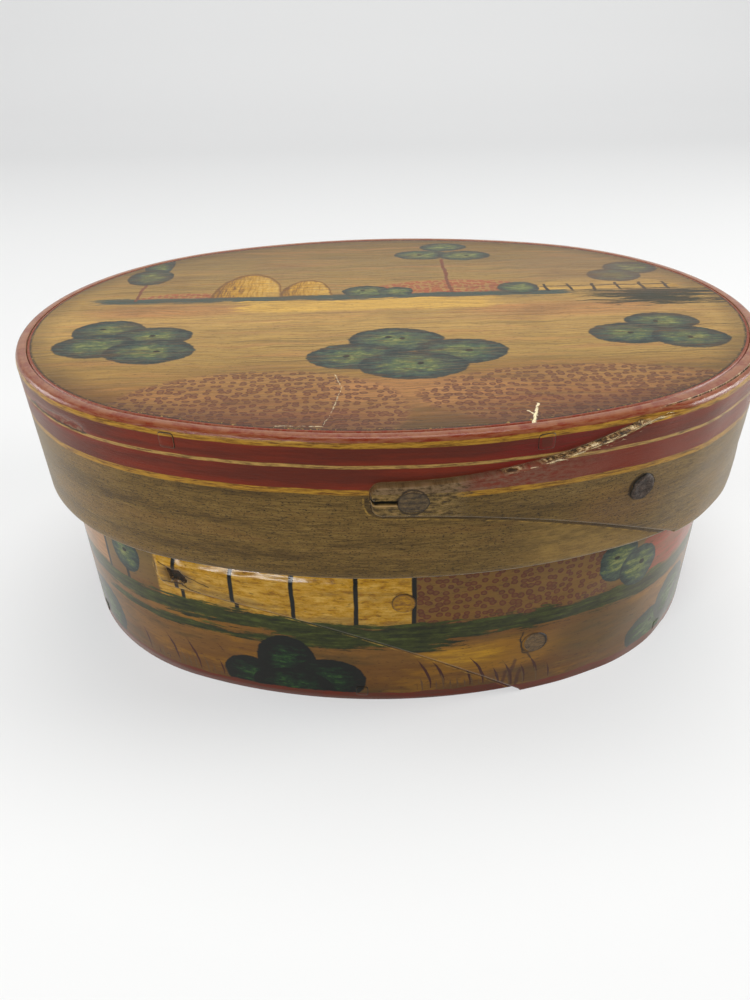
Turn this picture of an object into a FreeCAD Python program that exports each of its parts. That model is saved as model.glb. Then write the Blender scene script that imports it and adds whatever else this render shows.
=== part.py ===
import FreeCAD, Part
import math
import os

from FreeCAD import Vector

os.makedirs("parts", exist_ok=True)

# Oval bentwood box with a lift-off lid.  Two thin bands are bent round oval
# boards.  Each band laps over its own start, and the lap ends in one long
# tapered finger that is held by round pegs.  Small square pegs hold each band
# to the edge of its board.
# Millimetres.  +X runs along the length, the laps face -Y, +Z is up, and the
# origin is the centre of the underside.

# ---- body -------------------------------------------------------------
BODY_LENGTH = 213.2          # over the bent ends, one layer of band
BODY_WIDTH = 159.6           # back to front, one layer of band
SIDE_BOW = 6.5               # how far the flat sides bow out past the end bends
BODY_HEIGHT = 83.9
BODY_BAND = 3.0              # thickness of the body's band
BOTTOM_THICKNESS = 7.5

# ---- lid --------------------------------------------------------------
LID_BAND = 3.2
LID_DEPTH = 40.7             # height of the lid's band
LID_BOARD_THICKNESS = 7.1
LID_LEAN = 0.5               # the lid's wall leans out by this much at the rim
LID_CLEARANCE = 0.52         # lid over the body, along its sides
END_ROOM = 0.4               # added room at the lid's ends
RIM_ROUND = 2.2              # height of the rounded top edge
BAND_EASE = 0.7              # eased lower edge of the lid, upper edge of the body

# ---- laps -------------------------------------------------------------
FINGER_THICKNESS = 1.8       # the outer layer is shaved thin over the lap
LAP_GAP = 0.2                # glue line between the two layers
FEATHER = 0.6                # thickness left at the band's inner end

# body finger: where it starts, ends and how tall its tip is
BODY_TIP_X = -67.3
BODY_ROOT_X = 36.5
BODY_TIP_HEIGHT = 11.8
BODY_TIP_ROUND = 4.2
BODY_LAP_TURN = 52.0         # turn over which the lap fades, degrees

# lid finger: its tip sits above the middle of the band
LID_TIP_X = -6.3
LID_ROOT_TOP_X = 66.0
LID_ROOT_BOTTOM_X = 77.0
LID_TIP_HEIGHT = 8.2
LID_TIP_ROUND = 2.6
LID_TIP_LIFT = 4.4
LID_LAP_TURN = 75.0
SPLIT_WIDTH = 0.7            # slit from the tip to its peg
FINGER_BOW = 0.52            # how long the finger stays slim before it widens

# ---- pegs -------------------------------------------------------------
LID_TIP_PEG = 6.6            # diameters
LID_ROOT_PEG = 7.4
BODY_TIP_PEG = 5.6
BODY_MID_PEG = 6.4
BODY_ROOT_PEG = 7.0
LID_TIP_PEG_BACK = 9.7       # places of the pegs along the fingers
LID_ROOT_PEG_BACK = 4.0
BODY_TIP_PEG_BACK = 6.0
BODY_MID_PEG_BACK = 34.8
BODY_ROOT_PEG_PAST = 3.0
BODY_TIP_PEG_DROP = 1.0      # below the middle of the band
BODY_MID_PEG_DROP = 2.8
BODY_ROOT_PEG_DROP = 22.7
PEG_PROUD = 0.4              # round heads stand out by this much
ROOT_PEG_PROUD = 1.1
PEG_EDGE = 0.3               # eased edge of a round head
ROOT_PEG_EDGE = 0.8
TIP_PEG_SUNK = 1.2           # the body's tip peg has broken below the face
PEG_INSET = 0.1              # inner ends stop just inside the wall
BOARD_PEG = 4.2              # square pegs of the lid board
BASE_PEG = 3.6               # square pegs of the bottom board
BOARD_PEG_DEPTH = 9.0        # how far they run into the board
LID_BOARD_PEG_X = -54.0      # the first peg at the front of each ring
BASE_PEG_X = -10.4
LID_BOARD_PEGS = 7
BASE_PEGS = 6
BOARD_FIT = 0.1              # boards inside their bands
BOARD_BEVEL = 0.5            # eased outer edge of a board

SHORTEST_TURN = 0.4          # degrees; a shorter arc joins its neighbour
FADE_ARCS = 5                # arcs in each fade of a lap
LEAD_TURN = 10.0             # the trim starts this far ahead of the tip, degrees
SLACK = 8.0                  # how far cutting shapes reach past what they cut

RIM_Z = BODY_HEIGHT + LID_BOARD_THICKNESS
LID_FOOT_Z = RIM_Z - LID_DEPTH
LAP_RISE = LAP_GAP + FINGER_THICKNESS


class Oval:
    """Oval of four tangent arcs: two tight ends and two long flat sides.

    bow is how much further the flat sides reach than the tight ends' radius.
    """

    def __init__(self, half_length, half_width, bow, shift_y=0.0):
        self.half_length = half_length
        self.half_width = half_width
        self.bow = bow
        self.end_radius = half_width - bow
        self.end_x = half_length - self.end_radius
        self.side_y = (self.end_x ** 2 - bow ** 2) / (2.0 * bow)
        self.side_radius = half_width + self.side_y
        self.shift_y = shift_y
        self.turn = math.degrees(math.atan2(self.side_y, self.end_x))

    def leaned(self, lean):
        """Oval further out by the same amount all round."""
        return Oval(self.half_length + lean, self.half_width + lean, self.bow, self.shift_y)

    def joints(self):
        """Directions, in degrees, where a tight arc meets a flat one."""
        return [self.turn, 180.0 - self.turn, 180.0 + self.turn, 360.0 - self.turn]

    def normal(self, theta):
        angle = math.radians(theta)
        return Vector(math.cos(angle), math.sin(angle), 0)

    def point(self, theta, offset, z):
        """Point with its face turned to theta, offset outwards."""
        out = self.normal(theta)
        if abs(math.degrees(math.atan2(abs(out.y), abs(out.x)))) <= self.turn:
            centre = Vector(math.copysign(self.end_x, out.x), self.shift_y, z)
            return centre + out * (self.end_radius + offset)
        centre = Vector(0, self.shift_y - math.copysign(self.side_y, out.y), z)
        return centre + out * (self.side_radius + offset)

    def theta_at_x(self, x, offset=0.0):
        """Direction of the front wall at a place along the length."""
        reach = self.side_radius + offset
        theta = 360.0 - math.degrees(math.acos(x / reach))
        if 180.0 + self.turn <= theta <= 360.0 - self.turn:
            return theta
        run = abs(x) - self.end_x
        theta = math.degrees(math.acos(run / (self.end_radius + offset)))
        return 360.0 - theta if x > 0 else 180.0 + theta

    def breaks(self, start, end):
        """start, end and every arc joint between them, in order."""
        inner = [j + 360.0 * k for j in self.joints() for k in range(3)]
        lo, hi = min(start, end), max(start, end)
        cuts = sorted(t for t in inner if lo + SHORTEST_TURN < t < hi - SHORTEST_TURN)
        stops = [lo] + cuts + [hi]
        return stops if end > start else stops[::-1]

    def run(self, start, end, offset, z):
        """Arcs along the oval from start to end at one offset."""
        edges = []
        stops = self.breaks(start, end)
        for first, last in zip(stops, stops[1:]):
            a = self.point(first, offset, z)
            m = self.point((first + last) / 2.0, offset, z)
            b = self.point(last, offset, z)
            edges.append(Part.Arc(a, m, b).toShape())
        return edges

    def fade(self, start, end, first_offset, last_offset, z):
        """Arcs that move smoothly from one offset to another."""
        points = []
        for i in range(2 * FADE_ARCS + 1):
            t = i / (2.0 * FADE_ARCS)
            offset = first_offset + (last_offset - first_offset) * eased(t)
            points.append(self.point(start + (end - start) * t, offset, z))
        triples = zip(points[0::2], points[1::2], points[2::2])
        return [Part.Arc(a, m, b).toShape() for a, m, b in triples]

    def ring(self, offset, z):
        """Closed wire of the oval."""
        return joined(self.run(self.turn, self.turn + 360.0, offset, z))


def eased(t):
    """Share of a change done at t, level at both ends."""
    return t * t * (3.0 - 2.0 * t)


def joined(edges):
    """Wire through edges whose ends already meet in order."""
    return Part.Wire(Part.__sortEdges__(edges))


def strip(oval, z, wall, inset, tip, lap_end, feather_end):
    """Section of a band at one height.

    The band starts at its shaved inner end, goes once round the oval, rises
    over its own start and ends at the finger's tip.  inset is the share of
    the thickness taken off the outer face, for rounded edges.
    """
    keep = 1.0 - inset
    finger = LAP_GAP + FINGER_THICKNESS * keep
    skin = wall * (keep - 1.0)
    root_inner = FEATHER - wall + LAP_GAP
    inner_stop = feather_end + 359.0
    thin = FEATHER * keep - wall
    edges = []
    edges += oval.run(tip, lap_end, finger, z)
    edges += oval.fade(lap_end, feather_end, finger, skin, z)
    edges += oval.run(feather_end, lap_end + 360.0, skin, z)
    edges += oval.fade(lap_end + 360.0, inner_stop, skin, thin, z)
    edges.append(Part.makeLine(oval.point(inner_stop, thin, z), oval.point(inner_stop, -wall, z)))
    edges += oval.run(inner_stop, feather_end, -wall, z)
    edges.append(Part.makeLine(oval.point(feather_end, -wall, z), oval.point(feather_end, root_inner, z)))
    edges += oval.fade(feather_end, lap_end, root_inner, LAP_GAP, z)
    edges += oval.run(lap_end, tip, LAP_GAP, z)
    edges.append(Part.makeLine(oval.point(tip, LAP_GAP, z), oval.point(tip, finger, z)))
    return joined(edges)


def band(levels, wall, tip, lap_end, feather_end):
    """Bent band lofted through sections; levels holds (oval, z, inset)."""
    wires = [strip(o, z, wall, inset, tip, lap_end, feather_end) for o, z, inset in levels]
    return Part.makeLoft(wires, True, True)


def finger_profile(tip_x, tip_z, tip_height, tip_round, top_root, bottom_root, low_z, high_z):
    """Outline of the long finger, seen from the front, open to the right."""
    half = tip_height / 2.0
    shoulder = tip_x + tip_round
    top_ctrl = Vector(shoulder + (top_root - shoulder) * FINGER_BOW, 0, tip_z + half)
    bottom_ctrl = Vector(shoulder + (bottom_root - shoulder) * FINGER_BOW, 0, tip_z - half)
    top_curve = Part.BezierCurve()
    top_curve.setPoles([Vector(shoulder, 0, tip_z + half), top_ctrl, Vector(top_root, 0, high_z)])
    bottom_curve = Part.BezierCurve()
    bottom_curve.setPoles([Vector(bottom_root, 0, low_z), bottom_ctrl, Vector(shoulder, 0, tip_z - half)])
    far = lid_rim.half_length + SLACK
    corner = tip_round * (1.0 - math.sqrt(0.5))
    upper_corner = Vector(tip_x + corner, 0, tip_z + half - corner)
    lower_corner = Vector(tip_x + corner, 0, tip_z - half + corner)
    upper_end = Vector(tip_x, 0, tip_z + half - tip_round)
    lower_end = Vector(tip_x, 0, tip_z - half + tip_round)
    edges = [
        top_curve.toShape(),
        Part.makeLine(Vector(top_root, 0, high_z), Vector(top_root, 0, high_z + SLACK)),
        Part.makeLine(Vector(top_root, 0, high_z + SLACK), Vector(far, 0, high_z + SLACK)),
        Part.makeLine(Vector(far, 0, high_z + SLACK), Vector(far, 0, low_z - SLACK)),
        Part.makeLine(Vector(far, 0, low_z - SLACK), Vector(bottom_root, 0, low_z - SLACK)),
        Part.makeLine(Vector(bottom_root, 0, low_z - SLACK), Vector(bottom_root, 0, low_z)),
        bottom_curve.toShape(),
        Part.Arc(Vector(shoulder, 0, tip_z - half), lower_corner, lower_end).toShape(),
        Part.Arc(upper_end, upper_corner, Vector(shoulder, 0, tip_z + half)).toShape(),
    ]
    if upper_end.z - lower_end.z > 1e-6:
        edges.append(Part.makeLine(lower_end, upper_end))
    return Part.Face(joined(edges))


def trimmed_lap(solid, oval_low, oval_high, low_z, high_z, tip, root, profile):
    """Cuts the outer layer of the lap back to the finger's outline."""
    start = tip - LEAD_TURN
    near = LAP_GAP / 2.0
    far = LAP_RISE + SLACK
    wires = []
    for oval, z in ((oval_low, low_z), (oval_high, high_z)):
        inner = oval.run(start, root, near, z)
        outer = oval.run(root, start, far, z)
        root_side = Part.makeLine(oval.point(root, near, z), oval.point(root, far, z))
        tip_side = Part.makeLine(oval.point(start, far, z), oval.point(start, near, z))
        wires.append(joined(inner + [root_side] + outer + [tip_side]))
    waste = Part.makeLoft(wires, True, True)
    prism = profile.extrude(Vector(0, -BODY_WIDTH, 0))
    return solid.cut(waste.cut(prism))


def round_peg(oval, theta, z, diameter, inner, outer, edge):
    """Round peg across the wall from offset inner to offset outer."""
    radius = diameter / 2.0
    length = outer - inner
    corners = [(0, 0), (radius, 0), (radius, length - edge), (radius - edge, length), (0, length)]
    points = []
    for r, along in corners:
        if not points or (points[-1] - Vector(r, 0, along)).Length > 1e-6:
            points.append(Vector(r, 0, along))
    outline = Part.makePolygon(points + points[:1])
    peg = Part.Face(outline).revolve(Vector(0, 0, 0), Vector(0, 0, 1), 360)
    peg.rotate(Vector(0, 0, 0), Vector(0, 1, 0), 90)
    peg.rotate(Vector(0, 0, 0), Vector(0, 0, 1), theta)
    peg.translate(oval.point(theta, inner, z))
    return peg


def bore(oval, theta, z, diameter, inner, outer):
    return Part.makeCylinder(diameter / 2.0, outer - inner, oval.point(theta, inner, z), oval.normal(theta))


def square_peg(oval, theta, z, size, inner, outer):
    """Square peg driven through the band into a board's edge."""
    block = Part.makeBox(outer - inner, size, size, Vector(0, -size / 2.0, -size / 2.0))
    block.rotate(Vector(0, 0, 0), Vector(0, 0, 1), theta)
    block.translate(oval.point(theta, inner, z))
    return block


def spaced(oval, offset, start_x, count):
    """Directions of pegs at equal steps round the oval from a front place."""
    samples = 1440
    first = oval.theta_at_x(start_x, offset)
    thetas = [first + 360.0 * i / samples for i in range(samples + 1)]
    lengths = [0.0]
    for a, b in zip(thetas, thetas[1:]):
        step = oval.point(b, offset, 0).sub(oval.point(a, offset, 0)).Length
        lengths.append(lengths[-1] + step)
    picks = []
    for k in range(count):
        goal = lengths[-1] * k / count
        index = min(range(samples + 1), key=lambda i: abs(lengths[i] - goal))
        picks.append(thetas[index])
    return picks


def oval_board(oval_at, wall, stations):
    """Board that fills the inside of a band; stations holds (z, bevel)."""
    wires = [oval_at(z).ring(-wall - BOARD_FIT - bevel, z) for z, bevel in stations]
    return Part.makeLoft(wires, True, True)


# ---- ovals --------------------------------------------------------------
body_oval = Oval(BODY_LENGTH / 2.0, BODY_WIDTH / 2.0, SIDE_BOW)

# the lid sits forward by half the lap's rise, so that it clears the lap in
# front and keeps its clearance at the back
lid_shift = LAP_RISE / 2.0
lid_growth = LID_CLEARANCE + LID_BAND + lid_shift
lid_half_length = BODY_LENGTH / 2.0 + lid_growth + END_ROOM
lid_half_width = BODY_WIDTH / 2.0 + lid_growth
lid_foot = Oval(lid_half_length, lid_half_width, SIDE_BOW, -lid_shift)
lid_rim = lid_foot.leaned(LID_LEAN)


def body_oval_at(z):
    """The body's walls are upright."""
    return body_oval


def lid_oval(z):
    """Outside of the lid's single layer at one height."""
    return lid_foot.leaned(LID_LEAN * (z - LID_FOOT_Z) / LID_DEPTH)


# ---- body band ------------------------------------------------------------
body_tip = body_oval.theta_at_x(BODY_TIP_X - 4.0, LAP_RISE)
body_lap_end = body_oval.theta_at_x(BODY_ROOT_X, LAP_RISE)
body_feather_end = body_lap_end + BODY_LAP_TURN
body_levels = [
    (body_oval, 0.0, 0.0),
    (body_oval, BODY_HEIGHT - BAND_EASE, 0.0),
    (body_oval, BODY_HEIGHT, BAND_EASE / BODY_BAND),
]
body_band = band(body_levels, BODY_BAND, body_tip, body_lap_end, body_feather_end)
body_profile = finger_profile(
    BODY_TIP_X, BODY_HEIGHT / 2.0, BODY_TIP_HEIGHT, BODY_TIP_ROUND,
    BODY_ROOT_X, BODY_ROOT_X, 0.0, BODY_HEIGHT,
)
body_band = trimmed_lap(
    body_band, body_oval, body_oval, 0.0, BODY_HEIGHT, body_tip, body_lap_end + 2.0, body_profile,
)

# ---- lid band ---------------------------------------------------------------
LID_TIP_Z = (LID_FOOT_Z + RIM_Z) / 2.0 + LID_TIP_LIFT
lid_tip = lid_foot.theta_at_x(LID_TIP_X - 4.0, LAP_RISE)
lid_lap_end = lid_foot.theta_at_x(LID_ROOT_TOP_X, LAP_RISE)
lid_feather_end = lid_lap_end + LID_LAP_TURN
lid_levels = [
    (lid_foot, LID_FOOT_Z, BAND_EASE / LID_BAND),
    (lid_oval(LID_FOOT_Z + BAND_EASE), LID_FOOT_Z + BAND_EASE, 0.0),
]
for turn in (0.0, 35.0, 68.0):
    angle = math.radians(turn)
    z = RIM_Z - RIM_ROUND * (1.0 - math.sin(angle) / math.sin(math.radians(68.0)))
    inset = (1.0 - math.cos(angle)) * RIM_ROUND / LID_BAND
    lid_levels.append((lid_oval(z), z, inset))
lid_band = band(lid_levels, LID_BAND, lid_tip, lid_lap_end, lid_feather_end)
lid_profile = finger_profile(
    LID_TIP_X, LID_TIP_Z, LID_TIP_HEIGHT, LID_TIP_ROUND,
    LID_ROOT_TOP_X, LID_ROOT_BOTTOM_X, LID_FOOT_Z, RIM_Z,
)
lid_band = trimmed_lap(
    lid_band, lid_foot, lid_rim, LID_FOOT_Z, RIM_Z, lid_tip, lid_lap_end + 5.0, lid_profile,
)

# ---- boards -----------------------------------------------------------------
bottom_board = oval_board(
    body_oval_at, BODY_BAND,
    [(0.0, BOARD_BEVEL), (BOARD_BEVEL, 0.0), (BOTTOM_THICKNESS, 0.0)],
)
lid_board = oval_board(
    lid_oval, LID_BAND,
    [(BODY_HEIGHT, 0.0), (RIM_Z - BOARD_BEVEL, 0.0), (RIM_Z, BOARD_BEVEL)],
)

# ---- lap pegs ---------------------------------------------------------------
body_mid_z = BODY_HEIGHT / 2.0
lid_mid_z = LID_FOOT_Z + LID_DEPTH / 2.0


def lap_peg(band_solid, oval, x, z, wall, diameter, proud, edge):
    """One round peg through both layers, and the band with its hole."""
    theta = oval.theta_at_x(x, LAP_RISE)
    hole = bore(oval, theta, z, diameter, -wall - SLACK, LAP_RISE + SLACK)
    peg = round_peg(oval, theta, z, diameter, PEG_INSET - wall, LAP_RISE + proud, edge)
    return band_solid.cut(hole), peg


lid_tip_peg_x = LID_TIP_X + LID_TIP_PEG_BACK
lid_band, lid_tip_peg = lap_peg(
    lid_band, lid_oval(LID_TIP_Z), lid_tip_peg_x, LID_TIP_Z, LID_BAND,
    LID_TIP_PEG, PEG_PROUD, PEG_EDGE,
)
lid_band, lid_root_peg = lap_peg(
    lid_band, lid_oval(lid_mid_z), LID_ROOT_TOP_X - LID_ROOT_PEG_BACK, lid_mid_z, LID_BAND,
    LID_ROOT_PEG, ROOT_PEG_PROUD, ROOT_PEG_EDGE,
)
body_band, body_tip_peg = lap_peg(
    body_band, body_oval, BODY_TIP_X + BODY_TIP_PEG_BACK, body_mid_z - BODY_TIP_PEG_DROP, BODY_BAND,
    BODY_TIP_PEG, -TIP_PEG_SUNK, 0.0,
)
body_band, body_mid_peg = lap_peg(
    body_band, body_oval, BODY_ROOT_X - BODY_MID_PEG_BACK, body_mid_z - BODY_MID_PEG_DROP, BODY_BAND,
    BODY_MID_PEG, PEG_PROUD, PEG_EDGE,
)
body_band, body_root_peg = lap_peg(
    body_band, body_oval, BODY_ROOT_X + BODY_ROOT_PEG_PAST, body_mid_z - BODY_ROOT_PEG_DROP, BODY_BAND,
    BODY_ROOT_PEG, PEG_PROUD, PEG_EDGE,
)

# slit in the lid's finger, from its tip to the peg
slit_back = lid_foot.point(270.0, LAP_GAP / 2.0, 0).y
slit = Part.makeBox(
    lid_tip_peg_x - LID_TIP_X + SLACK, SLACK, SPLIT_WIDTH,
    Vector(LID_TIP_X - SLACK, slit_back - SLACK, LID_TIP_Z - SPLIT_WIDTH / 2.0),
)
lid_band = lid_band.cut(slit)

# ---- square pegs through the bands into the boards ------------------------------
def board_pegs(band_solid, board, oval, wall, lap, z, size, start_x, count):
    """Ring of square pegs; their pockets are cut in band and board."""
    pegs = []
    for theta in spaced(oval, 0.0, start_x, count):
        pocket = square_peg(oval, theta, z, size, -wall - BOARD_PEG_DEPTH, LAP_RISE + SLACK)
        face = lap_height(theta, *lap)
        pegs.append(square_peg(oval, theta, z, size, -wall - BOARD_PEG_DEPTH, face))
        band_solid = band_solid.cut(pocket)
        board = board.cut(pocket)
    return band_solid, board, Part.makeCompound(pegs)


def lap_height(theta, root, lap_end, feather_end):
    """How far out of the single layer the band's face lies at a direction.

    Below the finger, between the tip and root, the face is the single layer.
    """
    turn = (theta - root) % 360.0
    if turn >= feather_end - root:
        return 0.0
    return LAP_RISE * (1.0 - eased(max(0.0, turn - (lap_end - root)) / (feather_end - lap_end)))


lid_peg_z = RIM_Z - LID_BOARD_THICKNESS / 2.0
lid_band, lid_board, lid_board_pegs = board_pegs(
    lid_band, lid_board, lid_oval(lid_peg_z), LID_BAND, (lid_lap_end, lid_lap_end, lid_feather_end),
    lid_peg_z, BOARD_PEG, LID_BOARD_PEG_X, LID_BOARD_PEGS,
)
body_band, bottom_board, bottom_board_pegs = board_pegs(
    body_band, bottom_board, body_oval, BODY_BAND, (body_lap_end, body_lap_end, body_feather_end),
    BOTTOM_THICKNESS / 2.0, BASE_PEG, BASE_PEG_X, BASE_PEGS,
)

NODES = {
    "bottom_board": bottom_board,
    "body_band": body_band,
    "body_tip_peg": body_tip_peg,
    "body_mid_peg": body_mid_peg,
    "body_root_peg": body_root_peg,
    "bottom_board_pegs": bottom_board_pegs,
    "lid_board": lid_board,
    "lid_band": lid_band,
    "lid_tip_peg": lid_tip_peg,
    "lid_root_peg": lid_root_peg,
    "lid_board_pegs": lid_board_pegs,
}

for name, shape in NODES.items():
    shape.exportStep("parts/" + name + ".step")
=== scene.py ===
"""Looks of an old painted oval bentwood box with a lift-off lid.

The bands are modelled again as swept meshes, so that the fingers have rounded
and torn edges.  Every surface is painted by nodes: wood grain, brushed
grounds, stripes and a simple landscape of fields, hedges and stacks.
"""

import functools
import math

import bpy
import numpy as np
from mathutils import Matrix, Vector


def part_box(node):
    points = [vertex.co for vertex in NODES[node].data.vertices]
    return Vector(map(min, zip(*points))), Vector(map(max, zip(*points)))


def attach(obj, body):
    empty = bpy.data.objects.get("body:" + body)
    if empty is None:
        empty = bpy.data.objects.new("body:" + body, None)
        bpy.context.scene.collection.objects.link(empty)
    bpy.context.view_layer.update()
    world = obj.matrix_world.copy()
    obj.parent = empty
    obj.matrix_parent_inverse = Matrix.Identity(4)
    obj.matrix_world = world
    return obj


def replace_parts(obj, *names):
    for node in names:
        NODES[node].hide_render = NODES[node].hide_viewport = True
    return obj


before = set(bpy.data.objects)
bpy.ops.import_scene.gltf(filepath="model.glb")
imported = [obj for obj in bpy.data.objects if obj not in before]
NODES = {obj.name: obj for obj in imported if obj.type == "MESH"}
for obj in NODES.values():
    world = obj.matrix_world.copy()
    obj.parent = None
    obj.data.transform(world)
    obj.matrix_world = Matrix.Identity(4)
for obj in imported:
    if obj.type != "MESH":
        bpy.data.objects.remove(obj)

for name in ("Cube", "Light", "Camera"):
    if name in bpy.data.objects:
        bpy.data.objects.remove(bpy.data.objects[name])

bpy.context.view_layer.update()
M_PER_MM = 0.001

# ---- sizes, millimetres ----------------------------------------------------
SIDE_BOW = 6.5          # how far the flat sides bow past the end bends
BODY_WALL = 3
LID_WALL = 3.2
LID_LEAN = 0.5          # the lid's wall leans out by this much at the rim
LAP_RISE = 2            # outer layer over inner layer
RIM_ROUND = 2.2         # height of the lid's rounded rim
EASE = 0.7              # eased foot of the lid and top of the body
BODY_LAP_TURN = 52      # degrees over which a lap fades out
LID_LAP_TURN = 75
RED_MARGIN = 1.1        # the rim's red runs this far onto the board
FULL_DEPTH = 9          # depth given to places far from a finger's edges
GROOVE = 0.16           # depth and width of the groove beside a finger's edge
CRACK_IN = 0.29         # the crack at the rim lies this far inside the inner layer's face
CRACK_DEEP = 1.1
FLAKE_DEEP = 0.55       # the flake lost at the left end of the lid
HOLE_DEEP = 1.3         # the broken peg's hole, below the finger's face
FINGERS_REACH = 125     # the fingers lie this near the middle of the front


def box_mm(node):
    low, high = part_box(node)
    return [v / M_PER_MM for v in low], [v / M_PER_MM for v in high]


BODY_LOW, BODY_HIGH = box_mm("body_band")
LID_LOW, LID_HIGH = box_mm("lid_band")
BOARD_LOW, BOARD_HIGH = box_mm("lid_board")
BODY_TOP = BODY_HIGH[2]
LID_FOOT = LID_LOW[2]
RIM_Z = LID_HIGH[2]
LID_CENTRE_Y = (BOARD_LOW[1] + BOARD_HIGH[1]) / 2


# ---- ovals -------------------------------------------------------------------
class Oval:
    """Four tangent arcs, walked from the middle of the front towards +X."""

    def __init__(self, half_length, half_width, centre_y):
        self.end_radius = half_width - SIDE_BOW
        self.end_x = half_length - self.end_radius
        self.side_y = (self.end_x**2 - SIDE_BOW**2) / (2 * SIDE_BOW)
        self.side_radius = half_width + self.side_y
        self.centre_y = centre_y
        half_side = math.atan2(self.end_x, self.side_y)
        self.half_side = half_side
        side_run = self.side_radius * half_side
        quarter = side_run + self.end_radius * (math.pi / 2 - half_side)
        self.length = 4 * quarter
        self.runs, self.turns = (
            [0, bend, half - bend, half + bend, 2 * half - bend, 2 * half]
            for bend, half in ((side_run, 2 * quarter), (half_side, math.pi))
        )

    def turn(self, run):
        """Direction that the wall faces: 0 at the front, growing towards +X."""
        lap = np.floor(run / self.length)
        return np.interp(run - lap * self.length, self.runs, self.turns) + lap * 2 * math.pi

    def run(self, turn):
        """Way along the wall to the place that faces a direction."""
        lap = math.floor(turn / (2 * math.pi))
        return float(np.interp(turn - lap * 2 * math.pi, self.turns, self.runs)) + lap * self.length

    def from_middle(self, run):
        """The same place, with runs left of the middle of the front below 0."""
        return np.where(run > self.length / 2, run - self.length, run)

    def turn_at_x(self, x, offset):
        """Direction of the front wall where its face, offset outwards, is at x."""
        reach = self.side_radius + offset
        if abs(x) <= reach * math.sin(self.half_side):
            return math.asin(x / reach)
        turn = math.asin((abs(x) - self.end_x) / (self.end_radius + offset))
        return math.copysign(turn, x)

    def run_at_x(self, x, offset=LAP_RISE):
        return self.run(self.turn_at_x(x, offset))

    def place(self, run, offset, z):
        """Points, in metres, on the wall's face."""
        turn = self.turn(run)
        out_x, out_y = np.sin(turn), -np.cos(turn)
        on_end = np.abs(out_y) < math.cos(self.half_side)
        centre_x = np.where(on_end, np.sign(out_x) * self.end_x, 0)
        centre_y = self.centre_y + np.where(on_end, 0, -np.sign(out_y) * self.side_y)
        reach = np.where(on_end, self.end_radius, self.side_radius) + offset
        spots = np.stack([centre_x + out_x * reach, centre_y + out_y * reach, z + 0 * reach], axis=-1)
        return spots * M_PER_MM


BODY_OVAL = Oval(-BODY_LOW[0], BODY_HIGH[1], 0)
LID_OVAL = Oval(-LID_LOW[0] - LID_LEAN, LID_HIGH[1] - LID_CENTRE_Y - LID_LEAN, LID_CENTRE_Y)


# ---- fingers -------------------------------------------------------------------
class Finger:
    """Long tapered end of a band's outer layer, seen from the front."""

    def __init__(self, tip_x, tip_z, height, rounding, root_top, root_foot, low, high):
        self.tip_x, self.tip_z, self.rounding = tip_x, tip_z, rounding
        self.half = height / 2
        self.root_top, self.root_foot, self.low, self.high = root_top, root_foot, low, high
        self.shoulder = tip_x + rounding

    def edge(self, x, root, start, end):
        """Height of one long edge: level at the shoulder, then a bend to its root."""
        control = self.shoulder + (root - self.shoulder) * 0.52
        a = self.shoulder - 2 * control + root
        b = 2 * (control - self.shoulder)
        reach = np.clip(x, self.shoulder, root) - self.shoulder
        t = (-b + np.sqrt(b * b + 4 * a * reach)) / (2 * a)
        return start * (1 - t * t) + end * t * t

    def long_edges(self, x):
        lower = self.edge(x, self.root_foot, self.tip_z - self.half, self.low)
        upper = self.edge(x, self.root_top, self.tip_z + self.half, self.high)
        return lower, upper

    def edges(self, x):
        """Heights of the lower and the upper edge, with the tip's round corners."""
        lower, upper = self.long_edges(x)
        inset = np.clip(self.shoulder - x, 0, self.rounding)
        corner = self.rounding - np.sqrt(self.rounding**2 - inset**2)
        return lower + corner, upper - corner

    def depth(self, x, z):
        """How far inside the outline a point of the outer layer lies."""
        lower, upper = self.long_edges(x)
        lower = np.where(x >= self.root_foot, self.low - FULL_DEPTH, lower)
        upper = np.where(x >= self.root_top, self.high + FULL_DEPTH, upper)
        depth = np.minimum(np.minimum(z - lower, upper - z), x - self.tip_x)
        in_x = self.shoulder - x
        in_z = np.abs(z - self.tip_z) - (self.half - self.rounding)
        corner = self.rounding - np.hypot(in_x, in_z)
        return np.where((in_x > 0) & (in_z > 0), corner, depth)


LID_MIDDLE = (LID_FOOT + RIM_Z) / 2
LID_FINGER = Finger(-6.3, LID_MIDDLE + 4.4, 8.2, 2.6, 66, 77, LID_FOOT, RIM_Z)
BODY_FINGER = Finger(-67.3, BODY_TOP / 2, 11.8, 4.2, 36.5, 36.5, 0, BODY_TOP)
LID_PEG_X = 3.4         # the peg near the lid finger's tip
LID_PEG_SIZE = 6.6
SPLIT = 0.7             # slit between the tip and that peg
BROKEN_X, BROKEN_Z = -60.9, 41          # hole of the body's broken peg
THIN_ABOVE = 46.8       # the body's finger has been pared away under the lid
ROOT_PEG_X, ROOT_PEG_Z = 61, 70.65      # dark peg at the root of the lid's finger
ROOT_PEG_SIZE = 6.6
BODY_MID_PEG = (1.7, 39.15, 3.2)        # x, height and radius
BODY_ROOT_PEG = (38.9, 19.25, 3.5)
SQUARE_PEGS = {                         # oval, count, first x, height, size
    "lid": (LID_OVAL, 7, -54, RIM_Z - 3.55, 4.2),
    "box": (BODY_OVAL, 6, -10.4, 3.75, 3.6),
}


# ---- meshes ----------------------------------------------------------------------
def linked(name, data):
    """A new object in the scene."""
    thing = bpy.data.objects.new(name, data)
    bpy.context.scene.collection.objects.link(thing)
    return thing


def smooth_mesh(name, verts, faces, material):
    mesh = bpy.data.meshes.new(name)
    mesh.from_pydata([tuple(v) for v in verts], [], faces)
    mesh.materials.append(material)
    mesh.shade_smooth()
    return linked(name, mesh)


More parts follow.
